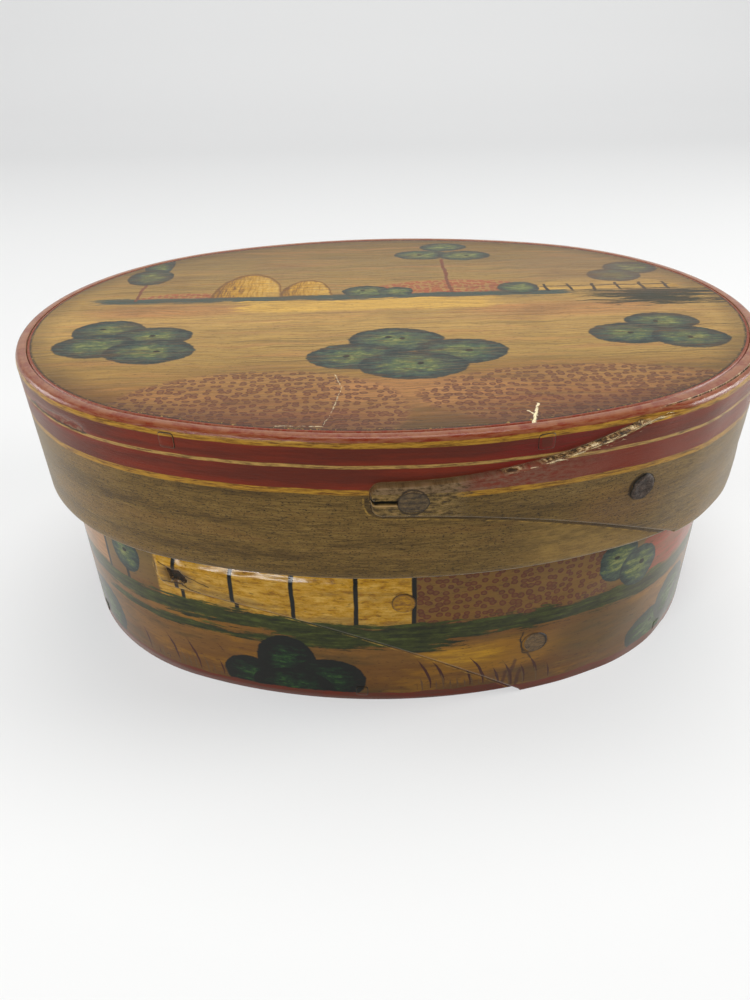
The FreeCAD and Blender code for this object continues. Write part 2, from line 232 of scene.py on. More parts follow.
def set_mark(piece, label, values):
    """A named value for each vertex, for the materials to read."""
    layer = piece.data.attributes.new(label, "FLOAT", "POINT")
    layer.data.foreach_set("value", np.asarray(values).astype(np.float32).ravel())


def set_paint_place(piece, corners, crease):
    """(run, height) of each face corner; edges that turn more than crease degrees stay sharp."""
    layer = piece.data.uv_layers.new(name="paint")
    layer.uv.foreach_set("vector", corners.astype(np.float32).ravel())
    piece.data.set_sharp_from_angle(angle=math.radians(crease))


def new_mesh(name, verts, faces, material, body):
    """A smooth mesh piece that rides on a body."""
    piece = smooth_mesh(name, verts, faces, material)
    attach(piece, body)
    return piece


def columns(oval, first_x, last_x, fine, coarse):
    """Runs of the mesh columns: close together between two places in front."""
    start = oval.run_at_x(first_x)
    near = np.arange(start, oval.run_at_x(last_x), fine)
    gap = start + oval.length - near[-1]
    count = int(gap / coarse)
    rest = near[-1] + gap * np.arange(1, count) / count
    return np.concatenate([near, rest])


EDGE_STEPS = np.array([-0.9, -0.4, -0.14, -0.02, 0.03, 0.16, 0.36, 0.65, 1, 1.4])


def rows(finger, x, bottom, top, low_count, mid_count, high_count):
    """Heights of the mesh rows over the outer face; they follow the finger's edges."""
    lower, upper = finger.edges(x)
    reach = EDGE_STEPS[-1]
    lower = np.clip(lower, bottom + 1, finger.tip_z - reach - 0.05)
    upper = np.clip(upper, finger.tip_z + reach + 0.05, top - 1)
    blocks = []

    def spread(start, end, count):
        share = np.arange(count) / count
        blocks.append(start[:, None] + (end - start)[:, None] * share[None, :])

    spread(np.full_like(x, bottom), lower + EDGE_STEPS[0], low_count)
    blocks.append(lower[:, None] + EDGE_STEPS[None, :-1])
    spread(lower + reach, upper - reach, mid_count)
    blocks.append(upper[:, None] - EDGE_STEPS[None, :0:-1])
    spread(upper - EDGE_STEPS[0], np.full_like(x, top), high_count)
    blocks.append(np.full((len(x), 1), top))
    return np.concatenate(blocks, axis=1)


def eased(t):
    t = np.clip(t, 0, 1)
    return t * t * (3 - 2 * t)


def ripple(x, z, seed):
    """Slow unevenness from a few sine waves, about -1 to 1."""
    rng = np.random.default_rng(seed)
    total = 0
    for _ in range(6):
        kx, kz = rng.uniform(-0.35, 0.35), rng.uniform(-0.6, 0.6)
        total = total + np.sin(kx * x + kz * z + rng.uniform(0, 6.28))
    return total / 3


def in_front(oval, run):
    return (run < oval.length / 4) | (run > 3 * oval.length / 4)


def lap_height(finger, oval, run, x, z, lap_turn, edge_round, thin_above=None):
    """How far the outer face stands out of the single layer; it may be pared thin on top."""
    front = in_front(oval, run)
    depth = np.where(front, finger.depth(x, z), -9)
    root = oval.turn_at_x(finger.root_top, LAP_RISE)
    fade = 1 - eased((oval.turn(run) - root) / math.radians(lap_turn))
    past_end = (oval.from_middle(run) < 0) | (oval.turn(run) > root + math.radians(lap_turn))
    depth = np.where(~front & ~past_end, 9, depth)
    level = np.where(front & (x < finger.root_top), 1, fade)
    inner = np.clip(depth, 0, edge_round)
    profile = LAP_RISE - edge_round + np.sqrt(edge_round**2 - (edge_round - inner) ** 2)
    if thin_above is not None:
        pared = 0.2 + 0.8 * (thin_above - z) + 0.16 * ripple(3 * run, 2 * z, 12) - LAP_RISE
        pared = LAP_RISE + 0.5 * (pared - np.sqrt(pared**2 + 0.06))
        pared = pared + (LAP_RISE - pared) * eased((x + 18) / 26)
        profile = np.minimum(profile, np.maximum(pared, 0.3))
    groove = -GROOVE * np.exp(-((depth + 0.12) / GROOVE) ** 2)
    return np.where(depth > 0, profile * level, groove * level), depth


def lid_lean(z):
    """How far the lid's wall has leaned out at a height."""
    return LID_LEAN * (z - LID_FOOT) / (RIM_Z - LID_FOOT)


def alike(values, runs):
    """The same row of values for every column."""
    return np.repeat(values[None, :], len(runs), axis=0)


def whole_rows(values, width):
    """One value of each column for its whole section."""
    return np.repeat(values[:, None], width, axis=1)


def mark_rows(like, first, last, values, elsewhere=0):
    """Marks for all vertices; values go to the rows from first to last."""
    marks = np.full_like(like, elsewhere)
    marks[:, first:last] = values
    return marks


def swept(name, oval, runs, offset, height, marks, material, body, slot):
    """Closed band: offset and height hold one section per column of runs.

    marks holds named values for the nodes, one for each vertex.
    """
    count, width = offset.shape
    spots = oval.place(whole_rows(runs, width), offset, height)
    index = np.arange(count * width).reshape(count, width)
    ahead = np.roll(index, -1, axis=0)
    up = np.roll(index, -1, axis=1)
    both = np.roll(ahead, -1, axis=1)
    faces = np.stack([index, ahead, both, up], axis=-1).reshape(-1, 4)
    piece = new_mesh(name, spots.reshape(-1, 3), faces.tolist(), material, body)
    end_run = np.append(runs, runs[0] + oval.length)
    here = np.repeat(np.arange(count), width)
    row = np.tile(np.arange(width), count)
    above = (row + 1) % width
    place = np.empty((count * width, 4, 2))
    for corner, (step, level) in enumerate(((0, row), (1, row), (1, above), (0, above))):
        place[:, corner, 0] = end_run[here + step] - oval.length * (runs[here] > oval.length / 2)
        place[:, corner, 1] = height[(here + step) % count, level]
    set_paint_place(piece, place, 60)
    for label, values in marks.items():
        set_mark(piece, label, values)
    return piece


def front_x(oval, run, offset):
    """x of the outer face; beyond the ends it only keeps growing."""
    return oval.place(run, offset, 0)[..., 0] / M_PER_MM


def past_root(runs):
    """Degrees of turn past the root of the lid's finger."""
    return np.degrees(LID_OVAL.turn(runs) - LID_OVAL.turn_at_x(LID_FINGER.root_top, LAP_RISE))


def open_crack(runs):
    """How far the two layers have parted at the rim, 0 to 1."""
    turned = past_root(runs)
    parted = eased((turned + 3) / 6) * (1 - eased((turned - 30) / 30))
    return np.where(turned < LID_LAP_TURN, parted, 0)


def lid_rim(runs):
    """Rounded top edge; where two layers lie side by side a crack parts them."""
    turned = past_root(runs)
    past = (turned > -5) & (turned < LID_LAP_TURN)
    fade = 1 - eased(turned / LID_LAP_TURN)
    layer = np.where(past, LAP_RISE * eased((turned + 5) / 10) * fade, 0)[:, None]
    crack = open_crack(runs)[:, None]
    share = np.array([0.06, 0.15, 0.3, 0.5, 0.75, 0.92])[None, :]
    outer = layer * (1 - share) - 0.03 * np.arange(6)[None, :]
    lip = np.array([0, -0.09, -0.18])[None, :] - 0.2 + 0 * layer
    inner = -np.array([0.5, 0.8, 1.2, 1.7, 2.3, 2.9, 3.2])[None, :] + 0 * layer
    offset = np.concatenate([outer, lip, inner], axis=1)
    inset = np.clip(1 - (layer - offset) / 1.5, 0, 1)
    height = RIM_Z - RIM_ROUND * (1 - np.sqrt(1 - inset**2))
    height -= CRACK_DEEP * crack * np.exp(-(((offset + CRACK_IN) / 0.13) ** 2))
    height -= np.array([0] * 15 + [0.06])[None, :]
    return offset + LID_LEAN, height


def torn_edge(x, z):
    """Where the lid finger's upper edge has split and shows raw fibres."""
    below = LID_FINGER.edges(x)[1] - z
    width = np.interp(x, [12, 20, 34, 44, 58, 66], [0, 0.05, 0.12, 0.35, 0.6, 0.25])
    width = width + 0.25 * ripple(2 * x, 0 * x, 3)
    width = width - 0.5 * (ripple(1.3 * x, 0 * x, 8) > 0.75)
    return np.where(below > -0.35, np.clip((width - below) / 0.3, 0, 1), 0) * (x > 18) * (x < 66)


def lost_flake(run, z):
    """Shallow flake lost from the red band at the left end."""
    high = np.interp(LID_OVAL.from_middle(run), [-114, -102, -91, -83, -79.5], [84, 86, 86.6, 87.1, 83.8])
    return eased((z - 83.6) / 0.9) * eased((high - z) / 0.9)


def lid_band(material):
    runs = columns(LID_OVAL, -10, 80, fine=0.5, coarse=1.6)
    x = front_x(LID_OVAL, runs, LAP_RISE)
    outer_z = rows(LID_FINGER, x, LID_FOOT + EASE, RIM_Z - RIM_ROUND, 12, 8, 12)
    wide = outer_z.shape[1]
    run_grid, x_grid = whole_rows(runs, wide), whole_rows(x, wide)
    lap = (LID_FINGER, LID_OVAL, run_grid, x_grid, outer_z, LID_LAP_TURN)
    rise, depth = lap_height(*lap, edge_round=0.7)
    front = in_front(LID_OVAL, run_grid)
    slit = (x_grid > LID_FINGER.tip_x) & (x_grid < LID_PEG_X)
    slit &= np.abs(outer_z - LID_FINGER.tip_z) < SPLIT / 2
    rise = np.where(slit & front, 0.1, rise)
    swell = 0.16 * ripple(run_grid, outer_z, 4) * (rise > 0.5) * np.clip(depth / 4, 0, 1)
    torn = torn_edge(x_grid, outer_z) * front
    swell -= torn * (0.3 + 0.15 * ripple(0.9 * run_grid, 9 * depth, 6)) * (rise > 0.5)
    flake = lost_flake(run_grid, outer_z)
    swell -= FLAKE_DEEP * flake
    outer = rise + swell + lid_lean(outer_z)
    rim_off, rim_z = lid_rim(runs)
    inner_z = np.array([RIM_Z - 0.4, 84, 74, 62, LID_FOOT + 0.3, LID_FOOT])
    inner_off = np.array([0, 0, 0, 0, 0, 0.3]) - LID_WALL
    inner_off += lid_lean(inner_z)
    foot_off = outer[:, :1] - np.array([[EASE, EASE * 0.3]])
    foot_z = np.array([LID_FOOT, LID_FOOT + EASE * 0.3])
    offset = np.concatenate([outer, rim_off, alike(inner_off, runs), foot_off], axis=1)
    height = np.concatenate([outer_z, rim_z, alike(inner_z, runs), alike(foot_z, runs)], axis=1)
    rim_end = wide + rim_off.shape[1]
    fibres = mark_rows(offset, 0, wide, torn)
    fibres[:, wide:rim_end] = open_crack(runs)[:, None] * (np.abs(rim_off - LID_LEAN + CRACK_IN) < 0.25)
    marks = {
        "bare": mark_rows(offset, rim_end, -2, 1),
        "depth": mark_rows(offset, 0, wide, depth, FULL_DEPTH),
        "torn": fibres,
        "flake": mark_rows(offset, 0, wide, flake),
    }
    section = (runs, offset, height, marks)
    piece = swept("lid_band_shell", LID_OVAL, *section, material, "lid", "painted_lid_band")
    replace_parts(piece, "lid_band")


def broken_hole(x, z):
    """Ragged hole where the body's tip peg has broken away."""
    across, up = (x - BROKEN_X) / 3.6, (z - BROKEN_Z + 0.12 * (x - BROKEN_X)) / 2.3
    reach = np.hypot(across, up) + 0.35 * ripple(6 * x, 5 * z, 23)
    return 1 - eased((reach - 0.6) / 0.45)


def body_band(material):
    runs = columns(BODY_OVAL, -71, 40, fine=0.5, coarse=2.4)
    x = front_x(BODY_OVAL, runs, LAP_RISE)
    outer_z = rows(BODY_FINGER, x, 0.3, BODY_TOP - EASE, 16, 22, 16)
    wide = outer_z.shape[1]
    run_grid, x_grid = whole_rows(runs, wide), whole_rows(x, wide)
    lap = (BODY_FINGER, BODY_OVAL, run_grid, x_grid, outer_z, BODY_LAP_TURN)
    rise, depth = lap_height(*lap, edge_round=1.2, thin_above=THIN_ABOVE)
    swell = 0.14 * ripple(run_grid, outer_z, 9) * (rise > 0.5) * np.clip(depth / 4, 0, 1)
    hole = broken_hole(x_grid, outer_z) * in_front(BODY_OVAL, run_grid)
    outer = rise + swell - HOLE_DEEP * hole
    inner_off = np.array([0.4, 0, 0, 0, 0, 0, 0, 0, 0.3]) - BODY_WALL
    rest_z = np.array([BODY_TOP, BODY_TOP, BODY_TOP - 0.4, 70, 55, 40, 25, 10, 0.3, 0, 0])
    parts = [outer, outer[:, -1:] - EASE, alike(inner_off, runs), outer[:, :1] - 0.3]
    offset = np.concatenate(parts, axis=1)
    height = np.concatenate([outer_z, alike(rest_z, runs)], axis=1)
    marks = {
        "bare": mark_rows(offset, wide, None, 1),
        "depth": mark_rows(offset, 0, wide, depth, FULL_DEPTH),
        "hole": mark_rows(offset, 0, wide, hole),
    }
    section = (runs, offset, height, marks)
    piece = swept("body_band_shell", BODY_OVAL, *section, material, "box", "painted_body")
    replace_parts(piece, "body_band")


def circle(sides):
    """Directions of the corners of a ring."""
    return np.linspace(0, 2 * math.pi, sides, endpoint=False)


def squareness(angle):
    """Reach of a square with soft corners, 1 in the middle of a side."""
    return (np.abs(np.cos(angle)) ** 7 + np.abs(np.sin(angle)) ** 7) ** (-1 / 7)


def ring_faces(count, rings):
    """Faces that join rings of count vertices, one ring after the other."""
    faces = []
    for start in range(0, (rings - 1) * count, count):
        for i in range(count):
            a, b = start + i, start + (i + 1) % count
            faces.append((a, b, b + count, a + count))
    return faces


def head(oval, run, z, size, face, reach, profile):
    """Vertices, faces and wall places of one peg head; profile holds (share, height)."""
    angle = circle(reach.size)
    share = np.array([p[0] for p in profile])[:, None] * reach[None, :] * size / 2
    along = np.append(run + share * np.cos(angle), run)
    up = np.append(z + share * np.sin(angle), z)
    out = np.append(np.repeat(face + np.array([p[1] for p in profile]), reach.size), face + profile[-1][1])
    count, last = reach.size, reach.size * len(profile)
    faces = ring_faces(count, len(profile))
    faces += [(last - count + i, last - count + (i + 1) % count, last) for i in range(count)]
    faces.append(tuple(range(count))[::-1])
    return oval.place(along, out, up), faces, np.stack([along, up], axis=-1)


def heads(name, parts, material, body):
    """One piece from several heads, with the bands' own painting marks."""
    verts, faces, places, depths = [], [], [], []
    for spots, rings, place, depth in parts:
        start = len(verts)
        verts += spots.tolist()
        places += place.tolist()
        depths += list(depth)
        faces += [tuple(start + i for i in face) for face in rings]
    piece = new_mesh(name, verts, faces, material, body)
    set_paint_place(piece, np.array(places)[[i for face in faces for i in face]], 50)
    set_mark(piece, "depth", depths)
    return piece


SQUARE_SIDES, ROUND_SIDES = 32, 40
SQUARE_PROFILE = [(0.94, -0.6), (1, -0.02), (0.97, 0.1), (0.88, 0.18), (0.5, 0.2)]


def square_heads(body, material):
    """Small square pegs painted over with the band; they just stand proud."""
    oval, count, first_x, z, size = SQUARE_PEGS[body]
    finger, turn = (LID_FINGER, LID_LAP_TURN) if body == "lid" else (BODY_FINGER, BODY_LAP_TURN)
    lean = lid_lean(z) if body == "lid" else 0
    reach = squareness(circle(SQUARE_SIDES))
    depth = np.append(np.repeat([-0.1, -0.1, -0.2, -0.7, -FULL_DEPTH], SQUARE_SIDES), -FULL_DEPTH)
    parts = []
    for k in range(count):
        run = oval.run_at_x(first_x, 0) + oval.length * k / count
        run = (run + oval.length / 2) % oval.length - oval.length / 2
        spot = np.array([run % oval.length])
        rise, _ = lap_height(finger, oval, spot, front_x(oval, spot, LAP_RISE), np.array([z]), turn, 0.7)
        parts.append((*head(oval, run, z, size, lean + float(rise[0]), reach, SQUARE_PROFILE), depth))
    return heads(body + "_square_heads", parts, material, body)


def lid_head(name, x, z, size, reach, profile, depth, material, slot):
    """Worn head of a round peg in the lid; depth holds a mark for each ring and the middle."""
    face = LAP_RISE + lid_lean(z)
    rings = head(LID_OVAL, LID_OVAL.run_at_x(x), z, size, face, reach, profile)
    marks = np.append(np.repeat(depth[:-1], reach.size), depth[-1])
    return heads(name, [(*rings, marks)], material, "lid")


def root_head(material):
    """Dark, worn peg head at the root of the lid's finger, no longer round."""
    angle = circle(ROUND_SIDES)
    reach = 1 + 0.12 * np.cos(2 * (angle - 1.1)) + 0.035 * np.cos(5 * angle) + 0.02 * np.cos(9 * angle)
    profile = [(0.98, -0.8), (1, 0.1), (0.97, 0.6), (0.86, 0.95), (0.62, 0.88), (0.4, 0.6), (0.2, 0.72)]
    depth = [-0.2, -0.1, 0.3, 0.8, 1.4, 2, 2.6, 3]
    place = ("lid_root_peg_head", ROOT_PEG_X, ROOT_PEG_Z, ROOT_PEG_SIZE)
    piece = lid_head(*place, reach, profile, depth, material, "dark_peg")
    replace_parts(piece, "lid_root_peg")


def tip_head(material):
    """Flat, worn peg head near the tip of the lid's finger, wider than tall."""
    angle = circle(ROUND_SIDES)
    reach = 1 + 0.15 * np.cos(2 * angle) + 0.03 * np.cos(3 * angle + 0.7) + 0.015 * np.cos(7 * angle)
    profile = [(0.97, -0.8), (1, -0.1), (0.96, 0.14), (0.85, 0.22), (0.5, 0.16), (0.25, 0.2)]
    depth = [-0.3, -0.1, 0.3, 0.8, 1.9, 2.6, 3.3]
    place = ("lid_tip_peg_head", LID_PEG_X + 0.2, LID_FINGER.tip_z, LID_PEG_SIZE)
    piece = lid_head(*place, reach, profile, depth, material, "lid_peg")
    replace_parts(piece, "lid_tip_peg")


def fibre(run, z, length, slope, half, out, lift):
    """One torn sliver: a thin spindle that lifts off the wall towards its end."""
    share = np.array([0, 0.3, 0.7, 1])
    width = half * np.array([0.5, 1, 0.8, 0.05])
    along = run + length * share
    up = z + slope * length * share
    face = out + lift * share**2
    corners = [(0, 1), (0.9, -0.5), (-0.9, -0.5)]
    spots = [LID_OVAL.place(along, face + width * b, up + width * a) for a, b in corners]
    return np.stack(spots, axis=1).reshape(-1, 3), [(0, 2, 1), (9, 10, 11)] + ring_faces(3, share.size)


FIBRES = 200
FIBRE_AHEAD = 4         # a fibre follows the edge over this run


def torn_fibres(material):
    """Slivers of raw wood along the split upper edge of the lid's finger."""
    rng = np.random.default_rng(17)
    verts, faces, tones = [], [], []
    for _ in range(FIBRES):
        x = rng.triangular(18, 54, 66)
        down = abs(rng.normal(0, 0.1 + 0.14 * (x > 42)))
        edge, ahead = (float(LID_FINGER.edges(np.array([at]))[1][0]) - 0.25 for at in (x, x + FIBRE_AHEAD))
        z = edge - min(down, 1.6)
        length = rng.uniform(1.5, 5) * np.interp(x, [18, 40], [0.5, 1])
        slope = (ahead - z - down) / FIBRE_AHEAD * rng.uniform(0.1, 1.5)
        half, lift = rng.uniform(0.03, 0.1), rng.uniform(0, 0.6)
        out = LAP_RISE + lid_lean(z) - 0.35
        part, rings = fibre(LID_OVAL.run_at_x(x), z, length, slope, half, out, lift)
        faces += [tuple(len(verts) + i for i in face) for face in rings]
        verts += part.tolist()
        tones += [rng.uniform(0, 1)] * len(part)
    piece = new_mesh("torn_fibres", verts, faces, material, "lid")
    set_mark(piece, "tone", tones)


# ---- node building ----------------------------------------------------------------
def srgb(red, green, blue):
    """Linear colour from 0 to 255 display values."""
    parts = []
    for value in (red, green, blue):
        share = value / 255
        parts.append(share / 12.92 if share <= 0.04045 else ((share + 0.055) / 1.055) ** 2.4)
    return (*parts, 1)


class Nodes:
    """One material's node tree.  Inputs may be sockets or plain values."""

    def __init__(self, name):
        self.material = bpy.data.materials.new(name)
        self.material.use_nodes = True
        self.tree = self.material.node_tree
        self.tree.nodes.clear()

    def add(self, kind, inputs, **settings):
        node = self.tree.nodes.new("ShaderNode" + kind)
        for key, value in settings.items():
            setattr(node, key, value)
        for key, value in inputs.items():
            if isinstance(value, bpy.types.NodeSocket):
                self.tree.links.new(value, node.inputs[key])
            else:
                node.inputs[key].default_value = value
        return node

    def math(self, operation, *values, clamp=False):
        return self.add("Math", dict(enumerate(values)), operation=operation, use_clamp=clamp).outputs[0]

    def times(self, a, b):
        return self.math("MULTIPLY", a, b)

    def plus(self, a, b):
        return self.math("ADD", a, b)

    def minus(self, a, b):
        return self.math("SUBTRACT", a, b)

    def madd(self, a, b, c):
        """a times b, plus c."""
        return self.math("MULTIPLY_ADD", a, b, c)

    def most(self, a, b):
        return self.math("MAXIMUM", a, b)

    def least(self, a, b):
        return self.math("MINIMUM", a, b)

    def nearest(self, values):
        """Least of several values."""
        return functools.reduce(self.least, values)

    def vector(self, operation, *values):
        node = self.add("VectorMath", dict(enumerate(values)), operation=operation)
        return node.outputs["Value" if operation in ("LENGTH", "DISTANCE", "DOT_PRODUCT") else "Vector"]

    def affine(self, vector, scale, shift=(0, 0, 0)):
        return self.vector("MULTIPLY_ADD", vector, scale, shift)

    def parts(self, vector):
        return self.add("SeparateXYZ", {0: vector}).outputs[:]

    def join(self, x, y, z=0):
        return self.add("CombineXYZ", {0: x, 1: y, 2: z}).outputs[0]

    def step(self, value, low, high):
        """0 below low, 1 above high, smooth between; low may be the larger."""
        inputs = {"Value": value, "From Min": low, "From Max": high}
        return self.add("MapRange", inputs, interpolation_type="SMOOTHSTEP").outputs["Result"]

    def scaled(self, value, low, high, to_low, to_high):
        inputs = {"Value": value, "From Min": low, "From Max": high, "To Min": to_low, "To Max": to_high}
        return self.add("MapRange", inputs).outputs["Result"]

    def mix(self, share, first, second, blend="MIX"):
        node = self.add("Mix", {0: share, 6: first, 7: second}, data_type="RGBA", blend_type=blend)
        return node.outputs[2]

    def lerp(self, share, first, second):
        return self.add("Mix", {0: share, 2: first, 3: second}, data_type="FLOAT").outputs[0]

    def noise(self, vector, detail, roughness):
        inputs = {"Vector": vector, "Scale": 1, "Detail": detail, "Roughness": roughness}
        return self.add("TexNoise", inputs)

    def grain(self, place, scale, detail, roughness, shift=(0, 0, 0)):
        """Value of a noise that runs long where its scale is small."""
        return self.noise(self.affine(place, scale, shift), detail, roughness).outputs[0]

    def ramp(self, value, stops):
        node = self.add("ValToRGB", {0: value})
        elements = node.color_ramp.elements
        while len(elements) < len(stops):
            elements.new(0.5)
        for element, (place, colour) in zip(elements, stops):
            element.position, element.color = place, colour
        return node.outputs[0]

    def finish(self, colour, roughness, bump=None, bump_mm=0.1, shine=0.3, sheen=0):
        inputs = {"Base Color": colour, "Roughness": roughness, "IOR": 1.5, "Specular IOR Level": shine}
        inputs["Sheen Weight"], inputs["Sheen Roughness"] = sheen, 0.4
        inputs["Sheen Tint"] = (1, 0.88, 0.7, 1)
        shader = self.add("BsdfPrincipled", inputs)
        if bump is not None:
            inputs = {"Height": bump, "Strength": 1, "Distance": bump_mm * M_PER_MM}
            normal = self.add("Bump", inputs).outputs[0]
            self.tree.links.new(normal, shader.inputs["Normal"])
        output = self.add("OutputMaterial", {"Surface": shader.outputs[0]})
        output.is_active_output = True
        return self.material


# ---- colours ---------------------------------------------------------------------
OLIVE = srgb(112, 87, 40)
OLIVE_DARK = srgb(80, 60, 24)
OLIVE_PALE = srgb(136, 110, 60)
OCHRE = srgb(156, 124, 62)
OCHRE_PALE = srgb(178, 142, 76)
UMBER = srgb(98, 70, 36)
ORANGE = srgb(124, 84, 32)
CLAY = srgb(166, 116, 66)
GOLD = srgb(180, 132, 26)
GOLD_PALE = srgb(200, 158, 72)
GOLD_DARK = srgb(146, 100, 20)
AMBER = srgb(108, 68, 18)
BRICK = srgb(148, 58, 34)
RIM_RED = srgb(128, 74, 46)
LINE_GOLD = srgb(172, 128, 40)
RED_BROWN = srgb(116, 36, 12)
RED_DARK = srgb(90, 30, 12)
CRIMSON = srgb(112, 14, 8)
PLUM = srgb(92, 46, 28)
TUFT = srgb(66, 30, 18)
TEAL_DARK = srgb(28, 42, 40)
TEAL = srgb(50, 68, 60)
LEAF = srgb(82, 98, 58)
LEAF_PALE = srgb(130, 134, 74)
GRASS = srgb(50, 56, 12)
GRASS_DARK = srgb(26, 32, 8)
GRASS_PALE = srgb(72, 82, 28)
PINE = srgb(16, 42, 22)
MOSS = srgb(44, 78, 30)
INK = srgb(12, 16, 12)
SOOT = srgb(34, 24, 14)
BARK = srgb(112, 58, 34)
STRAW = srgb(234, 218, 176)
DUST = srgb(124, 98, 78)
BARE = srgb(158, 120, 72)
BARE_DARK = srgb(108, 76, 42)
BARE_PALE = srgb(184, 148, 96)


# ---- painting ----------------------------------------------------------------------
def object_mm(n):
    """Place on the surface in millimetres."""
    return n.affine(n.add("TexCoord", {}).outputs["Object"], (1 / M_PER_MM,) * 3)


def wobbled(n, place, spot, amount, pitch=8):
    """place moved a little by noise, as a brush wanders."""
    noise = n.noise(n.affine(spot, (1 / pitch,) * 3), 5, 0.62).outputs["Color"]
    half = tuple(-a / 2 for a in amount)
    return n.affine(noise, amount, n.vector("ADD", place, half))


def within(n, value, low, high, soft=0.15):
    """1 between low and high."""
    return n.times(n.step(value, low - soft, low + soft), n.step(value, high + soft, high - soft))


class Canvas:
    """Colours laid one over the other in a flat place (x, y) in millimetres."""

    def __init__(self, n, place, grain, ground):
        self.n, self.place, self.grain, self.colour = n, place, grain, ground
        self.x, self.y = n.parts(place)[:2]
        self.mottle = n.grain(place, (0.22, 0.6, 0), 6, 0.75)

    def lay(self, cover, colour, share=None):
        if share is not None:
            cover = self.n.times(cover, share)
        self.colour = self.n.mix(cover, self.colour, colour)

    def patchy(self, cover, colour, low, high, least, most):
        """Colour laid from least to most, where the mottle goes from low to high."""
        self.lay(cover, colour, self.n.scaled(self.mottle, low, high, least, most))

    def local(self, x, y, wide, high):
        return self.n.affine(self.place, (1 / wide, 1 / high, 0), (-x / wide, -y / high, 0))

    def round(self, x, y, wide, high):
        """Reach from the middle of an ellipse, 1 on its outline."""
        return self.n.vector("LENGTH", self.local(x, y, wide, high))

    def foliage(self, clumps, stops):
        """Rounded clumps of leaves with dark rims, painted one over the other."""
        n, cover, tone = self.n, None, None
        for clump in clumps:
            reach = n.madd(self.mottle, 0.16, n.minus(self.round(*clump), 0.08))
            inside = n.step(reach, 1.02, 0.97)
            shade = n.times(reach, reach)
            cover = inside if cover is None else n.most(cover, inside)
            tone = shade if tone is None else n.lerp(inside, tone, shade)
        tone = n.madd(self.mottle, 1.5, n.madd(tone, 0.42, -0.62))
        self.lay(cover, n.ramp(tone, stops))

    def eyes(self, points, size):
        """Small dark marks, as on fruit or in leaves."""
        nearest = self.n.nearest([self.round(x, y, size, size * 0.8) for x, y in points])
        self.lay(self.n.step(nearest, 1.25, 0.8), INK)

    def brushed(self, cover, share, colour):
        """Colour dragged thinly, so that the ground shows between the bristles."""
        self.lay(cover, colour, self.n.scaled(self.grain, 0.35, 0.65, share - 0.4, share + 0.3))

    def stack(self, x, base, half, high):
        """Domed straw stack with a dark foot and vertical straws."""
        n = self.n
        local = self.local(x, base, half, high)
        across, up, _ = n.parts(local)
        reach = n.vector("LENGTH", local)
        cover = n.times(n.step(reach, 1.03, 0.96), n.step(up, -0.02, 0.03))
        straws = n.grain(self.place, (1.3, 0.12, 0), 2, 0.6, (x, 0, 0))
        tone = n.madd(across, 0.2, n.madd(straws, 0.9, 0))
        self.lay(cover, n.ramp(tone, STRAW_STOPS))
        self.lay(cover, AMBER, n.step(reach, 0.86, 0.98))

    def dabs(self, cover, size, colour):
        """Small round brush dabs with darker rims, closer in some patches than in others."""
        n = self.n
        inputs = {"Vector": n.affine(self.place, (1 / size, 1.2 / size, 0)), "Scale": 1, "Randomness": 0.7}
        cell = n.add("TexVoronoi", inputs, voronoi_dimensions="2D").outputs["Distance"]
        patch = n.grain(self.place, (0.07, 0.1, 0), 4, 0.6)
        uneven = n.madd(self.mottle, 0.3, n.madd(patch, 0.5, n.minus(cell, 0.4)))
        dab = n.times(n.step(uneven, 0.42, 0.34), n.scaled(uneven, 0.1, 0.3, 0.5, 1))
        self.lay(cover, colour, dab)

    def strip(self, low, high, left, right, colour, wave=0):
        """Level band of colour; wave tilts its height with the grain."""
        n = self.n
        level = n.madd(self.grain, -wave, n.plus(self.y, wave / 2))
        ends = within(n, n.madd(self.grain, 5 * wave, self.x), left + 2.5 * wave, right + 2.5 * wave, 1)
        self.lay(n.times(within(n, level, low, high, 0.4), ends), colour)

    def posts(self, places, low, high, half=0.55, colour=None):
        """Upright bars, dark unless a colour is given."""
        n = self.n
        nearest = n.nearest([n.math("ABSOLUTE", n.minus(self.x, x)) for x in places])
        cover = n.times(n.step(nearest, half + 0.2, half - 0.15), within(n, self.y, low, high, 0.3))
        self.lay(cover, colour or INK)

    def tufts(self, left, right, base, high, colour, pitch=3.4):
        """Curved blades of grass."""
        n = self.n
        rise = n.minus(self.y, base)
        bend = n.times(n.times(rise, rise), 0.03)
        place = n.math("DIVIDE", n.plus(self.x, bend), pitch)
        tall = n.add("TexWhiteNoise", {"W": n.math("FLOOR", place)}, noise_dimensions="1D").outputs["Value"]
        left_over = n.minus(n.times(tall, high), rise)
        gap = n.times(n.math("ABSOLUTE", n.minus(n.math("FRACT", place), 0.5)), pitch)
        width = n.least(n.times(left_over, 0.12), n.scaled(rise, 0, 5, 0.12, 0.42))
        blade = n.step(n.minus(width, gap), -0.14, 0.1)
        region = n.times(within(n, self.x, left, right, 1), n.step(rise, -0.4, 0.2))
        self.lay(blade, colour, region)


STRAW_STOPS = [(0.2, AMBER), (0.42, GOLD), (0.62, GOLD_PALE), (0.9, OCHRE)]
LEAF_STOPS = [(0, LEAF_PALE), (0.13, LEAF), (0.31, TEAL), (0.5, TEAL_DARK)]
PALE_LEAF_STOPS = [(0.04, LEAF_PALE), (0.2, LEAF), (0.36, TEAL), (0.56, TEAL_DARK)]
DARK_LEAF_STOPS = [(0, MOSS), (0.14, PINE), (0.32, INK)]
BUSH_STOPS = [(0, LEAF), (0.15, MOSS), (0.3, PINE), (0.46, TEAL_DARK)]


